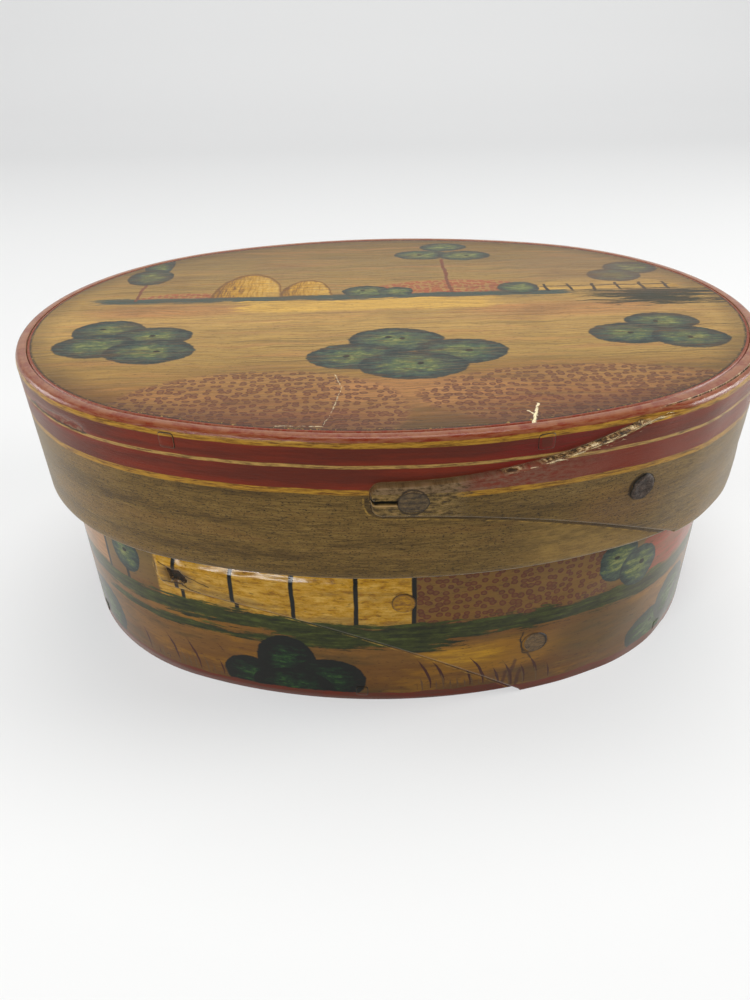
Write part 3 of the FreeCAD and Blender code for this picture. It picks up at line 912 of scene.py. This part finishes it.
def oval_gap(n, spot, oval, lean=0):
    """Distance outside the oval; lean is what the wall has leaned out at that height."""
    x, y, _ = n.parts(spot)
    ax = n.math("ABSOLUTE", x)
    ay = n.math("ABSOLUTE", n.minus(y, oval.centre_y))
    cross = n.minus(n.times(ax, oval.side_y), n.times(ay, oval.end_x))
    on_end = n.math("GREATER_THAN", cross, oval.end_x * oval.side_y)
    flat = n.join(ax, ay)
    end = n.minus(n.vector("DISTANCE", flat, (oval.end_x, 0, 0)), oval.end_radius + lean)
    side = n.minus(n.vector("DISTANCE", flat, (0, -oval.side_y, 0)), oval.side_radius + lean)
    return n.lerp(on_end, side, end)


def segment(n, place, start, end):
    """Distance to a straight line between two places."""
    (ax, ay), (bx, by) = start, end
    dx, dy = bx - ax, by - ay
    ahead = n.vector("SUBTRACT", place, (ax, ay, 0))
    along = n.vector("DOT_PRODUCT", ahead, (dx, dy, 0))
    share = n.math("DIVIDE", along, dx * dx + dy * dy, clamp=True)
    foot = n.join(n.times(share, dx), n.times(share, dy))
    return n.vector("DISTANCE", n.affine(ahead, (1, 1, 0)), foot)


def segments(n, place, points):
    """Distance to a jagged line."""
    return n.nearest([segment(n, place, *ends) for ends in zip(points, points[1:])])


def bare_wood(n, spot, x, y, z):
    """Colour and fine grain of raw wood; x, y and z scale the grain."""
    broad = n.grain(spot, (x, y, z), 3, 0.55)
    fine = n.grain(spot, (2 * x, 2 * y, 6 * z), 3, 0.6)
    tone = n.madd(fine, 0.45, n.times(broad, 0.6))
    return n.ramp(tone, [(0.3, BARE_DARK), (0.5, BARE), (0.72, BARE_PALE)]), fine


def bare_inside(n, spot, colour):
    """A band's paint outside and raw wood inside."""
    wood, _ = bare_wood(n, spot, 0.012, 0.012, 0.2)
    return n.mix(mark(n, "bare"), colour, wood)


def bare_board(n):
    """Raw wood of the boards, the same all through their thickness."""
    return bare_wood(n, n.affine(object_mm(n), (1, 1, 0)), 0.01, 0.5, 0)


def flecks(n, spot, scale, low, high):
    """Small dark marks in the grounds, longer than tall."""
    return n.step(n.grain(spot, scale, 2, 0.7), low, high)


def shaded(n, colour, value, low, high):
    """colour made darker or paler by a value around 0.5."""
    shade = n.scaled(value, 0.25, 0.75, low, high)
    return n.mix(1, colour, n.join(shade, shade, shade), "MULTIPLY")


def board_paint():
    """Top of the lid: a plain landscape on streaked ochre; bare wood underneath."""
    n = Nodes("board_paint")
    spot = object_mm(n)
    bent = wobbled(n, spot, n.affine(spot, (0.2, 0.2, 0)), (0, 9, 0))
    broad = n.grain(bent, (0.012, 0.11, 0), 3, 0.6)
    fine = n.grain(bent, (0.035, 0.9, 0), 4, 0.65)
    place = wobbled(n, spot, spot, (3.2, 2.6, 0))
    height = n.madd(broad, 40, n.minus(n.parts(place)[1], 20))
    stops = [(0, UMBER), (0.14, ORANGE), (0.28, OCHRE), (0.46, OCHRE_PALE), (0.6, OCHRE)]
    stops += [(0.78, OLIVE_PALE), (1, OLIVE)]
    c = Canvas(n, place, fine, n.ramp(n.scaled(height, -84, 82, 0, 1), stops))
    stroke = n.grain(bent, (0.02, 0.3, 0), 5, 0.65, (3, 0, 0))
    c.lay(n.step(stroke, 0.5, 0.64), CLAY, 0.5)
    c.lay(n.step(stroke, 0.47, 0.36), OLIVE, 0.5)
    for x, y, wide, high in ((-66, 2, 36, 7), (56, -4, 40, 8), (6, -60, 30, 10)):
        c.brushed(n.step(c.round(x, y, wide, high), 1.1, 0.5), 0.75, CLAY)
    land = n.step(c.y, 13.5, 14.5)
    # the far field: a green line, stubble, clay and ploughed ground
    c.strip(-1, 9, -46, 34, GOLD_PALE, 9)
    c.strip(9.5, 14.5, -95, 60, TEAL, 6)
    c.strip(-2, 13, 70, 108, GRASS_DARK, 20)
    ploughed = n.times(n.step(c.round(22, 13, 32, 14), 1.04, 0.96), land)
    c.lay(ploughed, CLAY, 0.6)
    c.dabs(ploughed, 2.2, BRICK)
    clay = n.times(n.step(c.round(-66, 13, 17, 6), 1.05, 0.95), land)
    c.lay(clay, CLAY, 0.6)
    c.dabs(clay, 1.8, BRICK)
    stubble = n.times(n.step(c.round(74, 12, 25, 14), 1.04, 0.96), land)
    c.lay(stubble, n.ramp(n.madd(c.y, 0.02, fine), [(0.66, GOLD), (0.8, GOLD_PALE), (1, OCHRE)]))
    c.posts([54, 62, 70, 78, 86, 94], 12.5, 20, 0.5)
    c.strip(17.2, 18, 52, 96, INK, 0.4)
    c.stack(-46, 14, 12, 25)
    c.stack(-26, 14, 8.5, 17)
    # trees and hedges on it
    c.posts([-82.5], 12, 36, 0.5, BARK)
    c.posts([22], 14, 52, 0.6, BARK)
    c.foliage([(-82, 50, 5, 12), (-83, 38, 8, 9)], LEAF_STOPS)
    c.foliage([(24, 68, 9, 5.5), (15, 58, 10, 6), (31, 56, 10, 6)], PALE_LEAF_STOPS)
    c.foliage([(88, 36, 10, 7), (80, 28, 9, 7)], LEAF_STOPS)
    c.foliage([(-6, 17, 8, 6), (4, 16, 6, 4.5), (45, 17, 7, 6)], PALE_LEAF_STOPS)
    # near ground: stony mounds and bushes
    for x, y, wide, high in ((-34, -70, 38, 23), (50, -64, 44, 17)):
        mound = n.step(c.round(x, y, wide, high), 1.05, 0.95)
        c.lay(mound, CLAY, 0.45)
        foot = n.step(c.round(x, y - 0.5 * high, wide, 0.8 * high), 1.1, 0.6)
        worn = n.times(foot, n.step(broad, 0.35, 0.55))
        c.lay(worn, BARK, 0.6)
        c.dabs(mound, 2.5, PLUM)
    c.foliage([(-84, -14, 11, 8.5), (-70, -20, 12, 8), (-85, -26, 12, 9), (-68, -31, 13, 9)], LEAF_STOPS)
    c.foliage([(2, -27, 14, 9.5), (-10, -38, 13, 9), (20, -36, 13, 9), (6, -45, 15, 9)], LEAF_STOPS)
    c.foliage([(82, -17, 11, 7), (70, -26, 12, 8), (86, -30, 11, 8)], LEAF_STOPS)
    c.eyes([(-86, -13), (-70, -19), (-66, -31), (0, -25), (4, -26), (-12, -38), (22, -36), (8, -44)], 1)
    c.eyes([(80, -17), (70, -26), (86, -30), (14, 58), (32, 56), (-7, 18)], 0.9)
    # age: grain, flecks, dirt and crumbs near the joint, cracks with raw wood
    c.lay(n.step(c.round(84, 36, 46, 30), 1.1, 0.5), DUST, 0.3)
    lines = n.grain(bent, (0.02, 2.2, 0), 3, 0.6)
    blotch = n.grain(spot, (0.03, 0.05, 0), 5, 0.6)
    c.lay(n.step(blotch, 0.5, 0.72), UMBER, 0.35)
    c.lay(n.step(lines, 0.5, 0.62), UMBER, 0.55)
    c.lay(n.step(flecks(n, bent, (0.12, 1.6, 0), 0.5, 0.64), 0.3, 1), AMBER, 0.35)
    c.lay(flecks(n, spot, (0.4, 2.2, 0), 0.6, 0.7), SOOT, 0.6)
    c.lay(flecks(n, spot, (0.9, 1.6, 0), 0.66, 0.72), SOOT, 0.7)
    c.colour = shaded(n, c.colour, fine, 0.7, 1.2)
    gap = oval_gap(n, spot, LID_OVAL, LID_LEAN)
    crumbs = n.grain(spot, (0.8, 0.8, 0.8), 5, 0.75)
    near = n.madd(crumbs, 3.2, n.minus(gap, 1.6))
    c.lay(n.step(near, -13, -4.6), SOOT, 0.35)
    edge = -LID_WALL - RED_MARGIN
    c.lay(within(n, near, edge - 0.5, edge + 0.5, 0.3), n.mix(n.step(crumbs, 0.55, 0.64), SOOT, OCHRE))
    c.lay(n.step(gap, edge - 0.05, edge + 0.1), n.mix(n.step(crumbs, 0.4, 0.6), RIM_RED, RED_BROWN))
    rough = wobbled(n, spot, spot, (1.4, 1.4, 0), 2)
    crack = n.step(segments(n, rough, [(-15, -50), (-13, -57.5), (-15, -71), (-17, -79)]), 0.24, 0.04)
    chip = n.step(segments(n, rough, [(-17, -79), (-28, -78)]), 0.4, 0.05)
    nick = n.step(segments(n, rough, [(34.6, -70), (33, -75), (31.6, -80.4)]), 0.5, 0.2)
    nick = n.most(nick, n.step(segments(n, rough, [(31.4, -73.5), (33.2, -76)]), 0.3, 0.1))
    raw = n.times(n.most(crack, chip), n.step(crumbs, 0.46, 0.56))
    raw = n.most(n.times(raw, 0.6), n.times(nick, n.step(crumbs, 0.36, 0.44)))
    c.lay(raw, STRAW)
    c.lay(n.step(segments(n, rough, [(74, -21), (104, -20.5)]), 0.35, 0.1), SOOT, 0.7)
    wood, _ = bare_board(n)
    painted = n.step(n.parts(spot)[2], BOARD_LOW[2] + 0.5, BOARD_LOW[2] + 1)
    colour = n.mix(painted, wood, c.colour)
    relief = n.madd(raw, -2, n.madd(lines, 0.6, fine))
    return n.finish(colour, n.scaled(fine, 0.2, 0.8, 0.3, 0.46), relief, 0.12, shine=0.25)


def paint_place(n):
    """(run, height) along a band, in millimetres."""
    return n.add("UVMap", {}, uv_map="paint").outputs[0]


def mark(n, label):
    return n.add("Attribute", {}, attribute_name=label).outputs["Fac"]


def finger_depth(n, run):
    """The depth mark near the fingers in front; elsewhere as if far inside."""
    near = n.math("LESS_THAN", n.math("ABSOLUTE", run), FINGERS_REACH)
    return n.lerp(near, FULL_DEPTH, mark(n, "depth"))


def finger_edge_shade_and_highlight(c, depth, upper):
    """Painted shade under a finger's lower edge, with some dirt there too, and a pale painted highlight
    line below it.
    """
    n = c.n
    patchy = n.scaled(c.mottle, 0.35, 0.65, 0.25, 1)
    lower = n.minus(1, upper)
    dark = n.times(within(n, depth, -1.6, 0.05, 0.25), lower)
    c.lay(dark, SOOT, n.times(patchy, 0.8))
    highlight_line = n.times(within(n, depth, -2.15, -1.75, 0.15), lower)
    c.patchy(highlight_line, GOLD_PALE, 0.45, 0.62, 0, 0.6)


def ring(c, x, y, radius, width, share):
    """Dark uneven ring round a peg."""
    n = c.n
    reach = n.madd(c.mottle, 1.4, n.vector("DISTANCE", c.place, (x, y, 0)))
    c.lay(within(n, reach, radius + 0.6, radius + 0.6 + width, 0.15), SOOT, share)


RED_FOOT = 76.7         # the lid's red bands start here
GOLD_LINES = [          # low and high edge, softness and two colours
    (76, 77.5, 0.12, AMBER, LINE_GOLD),
    (83.25, 84.1, 0.1, UMBER, OCHRE_PALE),
    (88.65, 90, 0.12, AMBER, LINE_GOLD),
]


def lid_band_paint():
    """Olive ground below red bands with gold lines; bare wood inside."""
    n = Nodes("lid_band_paint")
    tip_z = LID_FINGER.tip_z
    spot = object_mm(n)
    broad = n.grain(spot, (0.02, 0.02, 0.22), 4, 0.6)
    fine = n.grain(spot, (0.22, 0.22, 2.2), 5, 0.72)
    place = paint_place(n)
    run, height, _ = n.parts(place)
    drift = n.grain(spot, (0.05, 0.05, 0), 3, 0.6)
    level = n.madd(drift, 0.9, n.minus(height, 0.45))
    tone = n.madd(broad, 0.5, n.times(fine, 0.55))
    c = Canvas(n, place, fine, n.ramp(tone, [(0.4, OLIVE_DARK), (0.53, OLIVE), (0.68, OLIVE_PALE)]))
    c.lay(n.step(broad, 0.5, 0.66), AMBER, 0.3)
    c.lay(within(n, c.round(56, 66, 12, 6), -1, 1, 0.5), ORANGE, 0.4)
    c.lay(flecks(n, spot, (0.7, 0.7, 5), 0.54, 0.64), UMBER, 0.35)
    c.lay(flecks(n, spot, (1.3, 1.3, 4), 0.56, 0.64), SOOT, 0.9)
    rub = n.step(fine, 0.34, 0.58)
    c.lay(n.step(level, RED_FOOT, RED_FOOT + 0.2), n.mix(n.step(broad, 0.4, 0.6), RED_BROWN, RED_DARK))
    depth = finger_depth(n, run)
    upper = n.step(height, tip_z - 0.5, tip_z + 0.5)
    beside = n.times(within(n, depth, -6, -0.2, 1.5), within(n, run, 22, 70, 8))
    beside = n.times(beside, n.times(upper, n.step(level, 77, 78)))
    c.lay(beside, CRIMSON, n.scaled(fine, 0.35, 0.65, 0.3, 0.9))
    for low, high, soft, dark, pale in GOLD_LINES:
        c.lay(within(n, level, low, high, soft), n.mix(rub, dark, pale))
    c.lay(n.step(level, 89.9, 90.1), n.mix(rub, RED_BROWN, RIM_RED))
    # the finger's worn tip, its edges, the slit and the peg
    shred = n.grain(place, (0.45, 1.1, 0), 5, 0.75)
    outer = within(n, depth, -0.55, FULL_DEPTH - 1)
    ahead = n.madd(shred, 14, n.minus(run, 7))
    worn_tip = n.times(outer, n.step(ahead, 18, 13))
    c.lay(worn_tip, n.ramp(shred, [(0.32, SOOT), (0.44, OLIVE_DARK), (0.56, OLIVE_PALE), (0.7, BARE)]))
    dusty = n.times(n.times(outer, n.step(ahead, 58, 30)), n.step(level, 77.3, 77.6))
    c.lay(dusty, DUST, n.scaled(shred, 0.4, 0.6, 0.1, 0.7))
    under = n.times(within(n, run, 34, 84, 8), n.step(depth, -1.6, -2.4))
    under = n.times(under, n.step(height, 68, 66))
    c.patchy(under, OCHRE, 0.35, 0.6, 0.15, 0.75)
    # painted shade under the finger's lower edge, and a painted highlight below it
    finger_edge_shade_and_highlight(c, depth, upper)
    c.lay(n.times(within(n, depth, -0.5, 0, 0.15), upper), UMBER, n.step(run, 20, 10))
    slit = within(n, run, LID_FINGER.tip_x - 0.3, LID_PEG_X - 2.8, 0.3)
    c.lay(n.times(slit, within(n, height, tip_z - 0.5, tip_z + 0.55, 0.12)), INK)
    c.lay(n.times(slit, within(n, height, tip_z - 0.95, tip_z - 0.6, 0.1)), BARE_PALE)
    ring(c, LID_PEG_X, tip_z, LID_PEG_SIZE / 2, 0.5, 0.85)
    ring(c, LID_OVAL.run_at_x(ROOT_PEG_X), ROOT_PEG_Z, 3.1, 0.9, 0.85)
    chipped = n.madd(shred, 1.4, n.minus(depth, 0.7))
    c.lay(n.times(within(n, chipped, -0.42, 0.05, 0.08), n.step(height, 84.5, 85)), SOOT)
    # the flake lost at the left end: its dark rim is painted shadow of the flake's edge along with dark
    # broken paint, and its pale dusty streaks are dust along with painted highlights
    lost = n.madd(shred, 0.5, n.minus(mark(n, "flake"), 0.25))
    c.lay(n.step(lost, 0.42, 0.5), n.ramp(shred, [(0.4, RED_DARK), (0.5, RED_BROWN), (0.58, DUST)]))
    c.lay(within(n, lost, 0.3, 0.55, 0.08), SOOT, 0.9)
    # raw fibres along the split edge
    torn = mark(n, "torn")
    along_edge = n.join(n.times(run, 0.4), n.times(depth, 6))
    strands = n.noise(along_edge, 6, 0.8).outputs[0]
    c.lay(torn, n.ramp(strands, [(0.44, SOOT), (0.5, BARE_DARK), (0.54, BARE_PALE), (0.6, STRAW)]))
    c.colour = shaded(n, c.colour, fine, 0.82, 1.14)
    colour = bare_inside(n, spot, c.colour)
    relief = n.madd(n.times(n.plus(torn, n.times(worn_tip, 0.5)), strands), 3, fine)
    wall, rim = (n.scaled(fine, 0.2, 0.8, low, high) for low, high in ((0.24, 0.42), (0.12, 0.26)))
    rough = n.lerp(n.step(level, 89.6, 90.4), wall, rim)
    return n.finish(colour, rough, relief, 0.1, shine=0.18, sheen=0.33)


def body_paint():
    """Fields and hedges round the body; a red line at the foot."""
    n = Nodes("body_paint")
    spot = object_mm(n)
    broad = n.grain(spot, (0.02, 0.02, 0.2), 4, 0.6)
    fine = n.grain(spot, (0.09, 0.09, 1), 5, 0.68)
    place = wobbled(n, paint_place(n), spot, (0.9, 2, 0))
    height = n.madd(broad, 26, n.minus(n.parts(place)[1], 13))
    ground = n.ramp(
        n.scaled(height, 0, 84, 0, 1),
        [(0, OLIVE_DARK), (0.1, AMBER), (0.22, ORANGE), (0.34, AMBER), (0.5, OLIVE), (1, OLIVE_DARK)],
    )
    c = Canvas(n, place, fine, ground)
    half = BODY_OVAL.length / 2
    patches = n.grain(spot, (0.03, 0.03, 0.14), 5, 0.65)
    low = n.step(c.y, 30, 24)
    c.lay(n.times(low, n.times(n.step(patches, 0.52, 0.66), 0.75)), GOLD_DARK)
    c.lay(n.times(low, n.times(n.step(patches, 0.46, 0.34), 0.7)), OLIVE_DARK)
    c.brushed(n.step(c.round(27, 17, 22, 7), 1.2, 0.5), 0.95, GOLD_DARK)
    c.brushed(n.step(c.round(18, 18, 13, 4), 1.2, 0.5), 0.7, GOLD)
    c.brushed(n.step(c.round(62, 17, 20, 10), 1.2, 0.4), 0.75, OLIVE_DARK)
    # fields under the lid's edge
    field = within(n, c.y, 30, 55, 0.7)
    wheat = n.times(within(n, c.x, -70, 4, 0.5), field)
    glow = n.madd(c.mottle, 0.7, n.times(fine, 0.3))
    c.lay(wheat, n.ramp(glow, [(0.34, AMBER), (0.41, GOLD_DARK), (0.48, GOLD), (0.6, GOLD_PALE)]))
    c.lay(n.times(wheat, n.times(n.step(patches, 0.48, 0.6), 0.55)), OLIVE_PALE)
    furrows = n.times(within(n, c.x, 5, 60, 0.8), field)
    c.lay(furrows, ORANGE, 0.6)
    c.dabs(furrows, 2.5, PLUM)
    for left, right, colour in ((72, 118, BRICK), (-114, -92, CLAY), (150, 200, GOLD_DARK),
                                (-200, -150, BRICK), (-284, -236, GOLD_DARK)):
        patch = n.times(within(n, c.x, left, right, 1), within(n, c.y, 32, 52, 0.8))
        c.brushed(patch, 0.85, colour)
    c.posts([-92, -83, -62, -45, -28, -11, 4.4, 150, 166, 183, 200], 31, 54, 0.6)
    # grass line
    tone = n.madd(c.mottle, 0.5, n.times(fine, 0.5))
    grass = n.ramp(tone, [(0.4, GRASS_DARK), (0.52, GRASS), (0.64, GRASS_PALE)])
    c.strip(25.5, 31.5, -half - 50, half + 50, grass, 9)
    c.strip(20.5, 23.5, -96, -12, grass, 6)
    c.strip(21, 27, -34, 14, grass, 9)
    # hedges and bushes
    c.foliage([(63, 42, 6.5, 7.5), (71, 37, 7, 7)], PALE_LEAF_STOPS)
    c.foliage([(-82, 41, 6, 7), (225, 41, 12, 9), (-222, 40, 13, 8)], LEAF_STOPS)
    c.foliage([(-44, 7, 8, 7), (-32, 14, 9, 10), (-20, 8, 11, 8), (-31, 5, 12, 6)], DARK_LEAF_STOPS)
    c.foliage([(84, 7, 12, 8), (95, 14, 10, 10), (106, 7, 11, 9)], BUSH_STOPS)
    c.foliage([(-104, 9, 12, 10), (-116, 8, 12, 8)], BUSH_STOPS)
    c.foliage([(168, 10, 15, 10), (182, 7, 12, 8), (252, 9, 16, 9)], DARK_LEAF_STOPS)
    c.foliage([(-178, 9, 16, 9), (-250, 9, 14, 11), (-264, 6, 12, 7)], DARK_LEAF_STOPS)
    c.eyes([(62, 43), (72, 38), (84, 9), (95, 16), (106, 8), (-82, 42)], 0.9)
    for left, right in ((-86, -52), (6, 46), (120, 146), (-152, -126)):
        c.tufts(left, right, 4, 14, TUFT, 3.9)
        c.tufts(left, right, 3.4, 7, UMBER, 2.1)
    c.lay(flecks(n, spot, (0.5, 0.5, 2), 0.58, 0.72), SOOT, 0.55)
    c.lay(n.step(c.y, 3.4, 2.9), n.mix(n.step(fine, 0.35, 0.6), RED_BROWN, PLUM))
    c.lay(within(n, c.y, 50.6, 52.4, 0.3), RED_DARK)
    # the finger's edges, its pegs and the broken hole
    run, level, _ = n.parts(paint_place(n))
    depth = finger_depth(n, run)
    upper = n.step(level, BODY_FINGER.tip_z - 0.5, BODY_FINGER.tip_z + 0.5)
    # painted shade under the finger's lower edge, and a painted highlight below it
    finger_edge_shade_and_highlight(c, depth, upper)
    c.lay(within(n, depth, -0.4, 0, 0.12), SOOT, 0.8)
    c.patchy(within(n, depth, 0.1, 0.5, 0.12), GOLD_PALE, 0.45, 0.6, 0, 0.55)
    hole = mark(n, "hole")
    hole_run = BODY_OVAL.run_at_x(BROKEN_X)
    stain = n.madd(c.mottle, -1.3, n.plus(c.round(hole_run, BROKEN_Z, 6.5, 4.2), 0.65))
    c.lay(n.step(stain, 1, 0.4), UMBER, 0.75)
    splinters = n.grain(place, (1.6, 5, 0), 4, 0.7)
    ragged = n.madd(splinters, 1, n.minus(hole, 0.5))
    wood = n.ramp(splinters, [(0.38, INK), (0.52, SOOT), (0.62, UMBER), (0.72, BARE)])
    c.lay(n.step(ragged, 0.25, 0.4), wood)
    rough = wobbled(n, paint_place(n), spot, (1.6, 1.6, 0), 3)
    for line in ([(-66, 44.5), (-60, 42.5), (-51, 39.5)], [(-66.5, 38), (-61, 38.6), (-54, 36.5)]):
        shift = [(x + hole_run - BROKEN_X, y) for x, y in line]
        c.lay(n.step(segments(n, rough, shift), 0.32, 0.08), SOOT, 0.85)
    for (x, height, radius), width, share in ((BODY_MID_PEG, 0.25, 0.5), (BODY_ROOT_PEG, 0.5, 0.7)):
        ring(c, BODY_OVAL.run_at_x(x), height, radius, width, share)
    root_run = BODY_OVAL.run_at_x(BODY_ROOT_PEG[0])
    split, *strokes = (
        segments(n, rough, [(x + root_run, y) for x, y in line])
        for line in (
            ((-3.4, 23.6), (-4.1, 21.4), (-3.8, 18.6), (-2.9, 16), (-1.6, 15.2), (-0.4, 13.2)),
            ((-5, 13.5), (-6.2, 9), (-5.8, 4)),
            ((-7.6, 9.5), (-8.6, 4)),
            ((-3.4, 9), (-4.2, 3.5)),
        )
    )
    c.patchy(n.step(split, 0.45, 0.1), SOOT, 0.35, 0.6, 0.4, 1)
    nearest = n.least(strokes[0], n.least(strokes[1], strokes[2]))
    c.lay(n.step(nearest, 0.9, 0.2), TUFT, 0.7)
    c.colour = shaded(n, c.colour, fine, 0.8, 1.15)
    colour = bare_inside(n, spot, c.colour)
    gloss = n.lerp(hole, n.scaled(fine, 0.2, 0.8, 0.1, 0.26), 0.8)
    return n.finish(colour, gloss, fine, 0.03, shine=0.2, sheen=0.3)


def peg_grain(name, scale, detail, roughness=0.7):
    """Nodes of a material, and the value of its grain."""
    n = Nodes(name)
    return n, n.grain(object_mm(n), scale, detail, roughness)


def peg_paint(node, dark, pale):
    """Paint over a round head, with dirt gathered round its edge."""
    n, grain = peg_grain(node + "_paint", (0.7, 0.7, 1.8), 5)
    low, high = box_mm(node)
    middle = [(a + b) / 2 for a, b in zip(low, high)]
    radius = (high[2] - low[2]) / 2
    centred = n.affine(object_mm(n), (1, 0, 1), (-middle[0], 0, -middle[2]))
    reach = n.madd(grain, 1.2, n.vector("LENGTH", centred))
    painted = n.ramp(grain, [(0.36, dark), (0.62, pale)])
    colour = n.mix(n.step(reach, radius + 0.05, radius + 0.75), painted, SOOT)
    return n.finish(colour, n.scaled(grain, 0.3, 0.7, 0.3, 0.5), grain, 0.25)


def dark_peg_wood():
    n, grain = peg_grain("dark_peg_wood", (0.9, 0.9, 1.6), 5)
    colour = n.ramp(grain, [(0.38, SOOT), (0.52, srgb(62, 50, 42)), (0.7, srgb(104, 88, 76))])
    colour = n.mix(n.step(mark(n, "depth"), 0.5, -0.1), colour, INK)
    return n.finish(colour, n.scaled(grain, 0.3, 0.7, 0.38, 0.6), grain, 0.35)


def worn_peg_wood():
    """Peg head whose paint has worn off, with dirt in its grain and round its edge."""
    n, grain = peg_grain("worn_peg_wood", (0.5, 0.5, 1.3), 6, 0.75)
    stops = [(0.36, SOOT), (0.44, srgb(66, 52, 32)), (0.58, srgb(100, 80, 50)), (0.74, OLIVE_PALE)]
    edge = n.madd(grain, -1.6, n.plus(mark(n, "depth"), 0.8))
    colour = n.mix(n.step(edge, 0.75, 0.15), n.ramp(grain, stops), SOOT)
    return n.finish(colour, n.scaled(grain, 0.3, 0.7, 0.3, 0.5), grain, 0.35)


def hole_wood():
    n, grain = peg_grain("hole_wood", (0.9, 0.9, 1.6), 4)
    return n.finish(n.ramp(grain, [(0.4, INK), (0.65, srgb(62, 44, 28))]), 0.7, grain, 0.3)


def fibre_wood():
    n, grain = peg_grain("fibre_wood", (0.6, 0.6, 2.5), 4)
    tone = n.madd(grain, 0.5, n.minus(mark(n, "tone"), 0.25))
    colour = n.ramp(tone, [(0.16, SOOT), (0.3, BARE_DARK), (0.44, BARE_PALE), (0.6, STRAW)])
    return n.finish(colour, 0.75, grain, 0.2, shine=0.2)


def board_wood():
    n = Nodes("board_wood")
    colour, fine = bare_board(n)
    return n.finish(colour, 0.6, fine, 0.15)


def repaint(node, material):
    NODES[node].data.materials[0] = material


def main():
    lid_paint, side_paint = lid_band_paint(), body_paint()
    lid_band(lid_paint)
    body_band(side_paint)
    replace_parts(square_heads("lid", lid_paint), "lid_board_pegs")
    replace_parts(square_heads("box", side_paint), "bottom_board_pegs")
    repaint("lid_board", board_paint())
    repaint("bottom_board", board_wood())
    tip_head(worn_peg_wood())
    repaint("body_mid_peg", peg_paint("body_mid_peg", AMBER, GOLD))
    repaint("body_root_peg", peg_paint("body_root_peg", srgb(70, 54, 34), srgb(120, 94, 60)))
    repaint("body_tip_peg", hole_wood())
    root_head(dark_peg_wood())
    torn_fibres(fibre_wood())


# ---- stage -----------------------------------------------------------------------
ROOM_HALF_X, ROOM_HALF_Y = 1.8, 1.2     # metres
ROOM_SIDES = 96
ROOM_PROFILE = [(0.6, 0), (0.3, 0), (0.15, 0.03), (0.04, 0.12), (0, 0.3), (0, 2)]   # inset, height
FLOOR_GLOW = 0.5
WORLD_LIGHT = 0.16
AIM = (0, 0, 0.05)
LAMPS = [               # name, place, size, watts and the height of a level strip
    ("key", (0.05, 0.2, 0.95), 0.6, 6.1, None),
    ("window", (-0.57, -0.82, 0.52), 0.5, 6.5, 0.12),
    ("left", (-1.1, 0.3, 0.45), 0.5, 4.5, None),
    ("right", (1.1, 0.05, 0.45), 0.5, 11.5, None),
]
CAMERA_MM = (-6.17, -236.67, 174.2)
FOCAL, SENSOR = 27.64, 36
PITCH, YAW, ROLL = (math.radians(a) for a in (33.38, 0.31, 1.33))


def camera():
    """View from a little above, turned and levelled as a hand-held shot."""
    ahead = (math.sin(YAW) * math.cos(PITCH), math.cos(YAW) * math.cos(PITCH), -math.sin(PITCH))
    ahead = Vector(ahead)
    right = Vector((math.cos(YAW), -math.sin(YAW), 0))
    down = ahead.cross(right)
    side = right * math.cos(ROLL) + down * math.sin(ROLL)
    below = down * math.cos(ROLL) - right * math.sin(ROLL)
    data = bpy.data.cameras.new("view")
    data.lens, data.sensor_width, data.sensor_fit = FOCAL, SENSOR, "AUTO"
    data.clip_start = 0.01
    seer = linked("view", data)
    turn = Matrix((side, -below, -ahead)).transposed().to_4x4()
    seer.matrix_world = Matrix.Translation(Vector(CAMERA_MM) * M_PER_MM) @ turn
    bpy.context.scene.camera = seer


def lamp(name, place, size, watts, height):
    """Soft lamp: a disk, or a level strip where a height is given."""
    data = bpy.data.lights.new(name, "AREA")
    data.shape, data.size, data.energy = "DISK" if height is None else "RECTANGLE", size, watts
    if height is not None:
        data.size_y = height
    light = linked(name, data)
    light.location = place
    light.rotation_euler = (Vector(AIM) - Vector(place)).to_track_quat("-Z", "Y").to_euler()


def stage():
    """Pale floor that bends up into walls all round and looks a little lighter than its light."""
    paint = Nodes("floor_paint")
    path = paint.add("LightPath", {}).outputs
    seen = paint.most(path["Is Camera Ray"], path["Is Glossy Ray"])
    seen = paint.most(seen, path["Is Transmission Ray"])
    matt = paint.add("BsdfDiffuse", {"Color": srgb(162, 162, 160)})
    glow = paint.add("Emission", {"Color": srgb(252, 253, 255), "Strength": paint.times(seen, FLOOR_GLOW)})
    both = paint.add("AddShader", {0: matt.outputs[0], 1: glow.outputs[0]})
    paint.add("OutputMaterial", {"Surface": both.outputs[0]})
    angle = circle(ROOM_SIDES)
    reach = squareness(angle)
    verts = [
        ((ROOM_HALF_X - inset) * r * math.cos(a), (ROOM_HALF_Y - inset) * r * math.sin(a), z)
        for inset, z in ROOM_PROFILE for a, r in zip(angle, reach)
    ]
    walls = [(a, d, c, b) for a, b, c, d in ring_faces(ROOM_SIDES, len(ROOM_PROFILE))]
    floor = smooth_mesh("floor", verts, [tuple(range(ROOM_SIDES)), *walls], paint.material)


def lights():
    world = bpy.data.worlds.new("room")
    world.use_nodes = True
    background = world.node_tree.nodes["Background"]
    background.inputs[0].default_value = (1, 1, 1, 1)
    background.inputs[1].default_value = WORLD_LIGHT
    bpy.context.scene.world = world
    for row in LAMPS:
        lamp(*row)


main()
stage()
camera()
lights()
bpy.context.scene.view_settings.view_transform = "Standard"
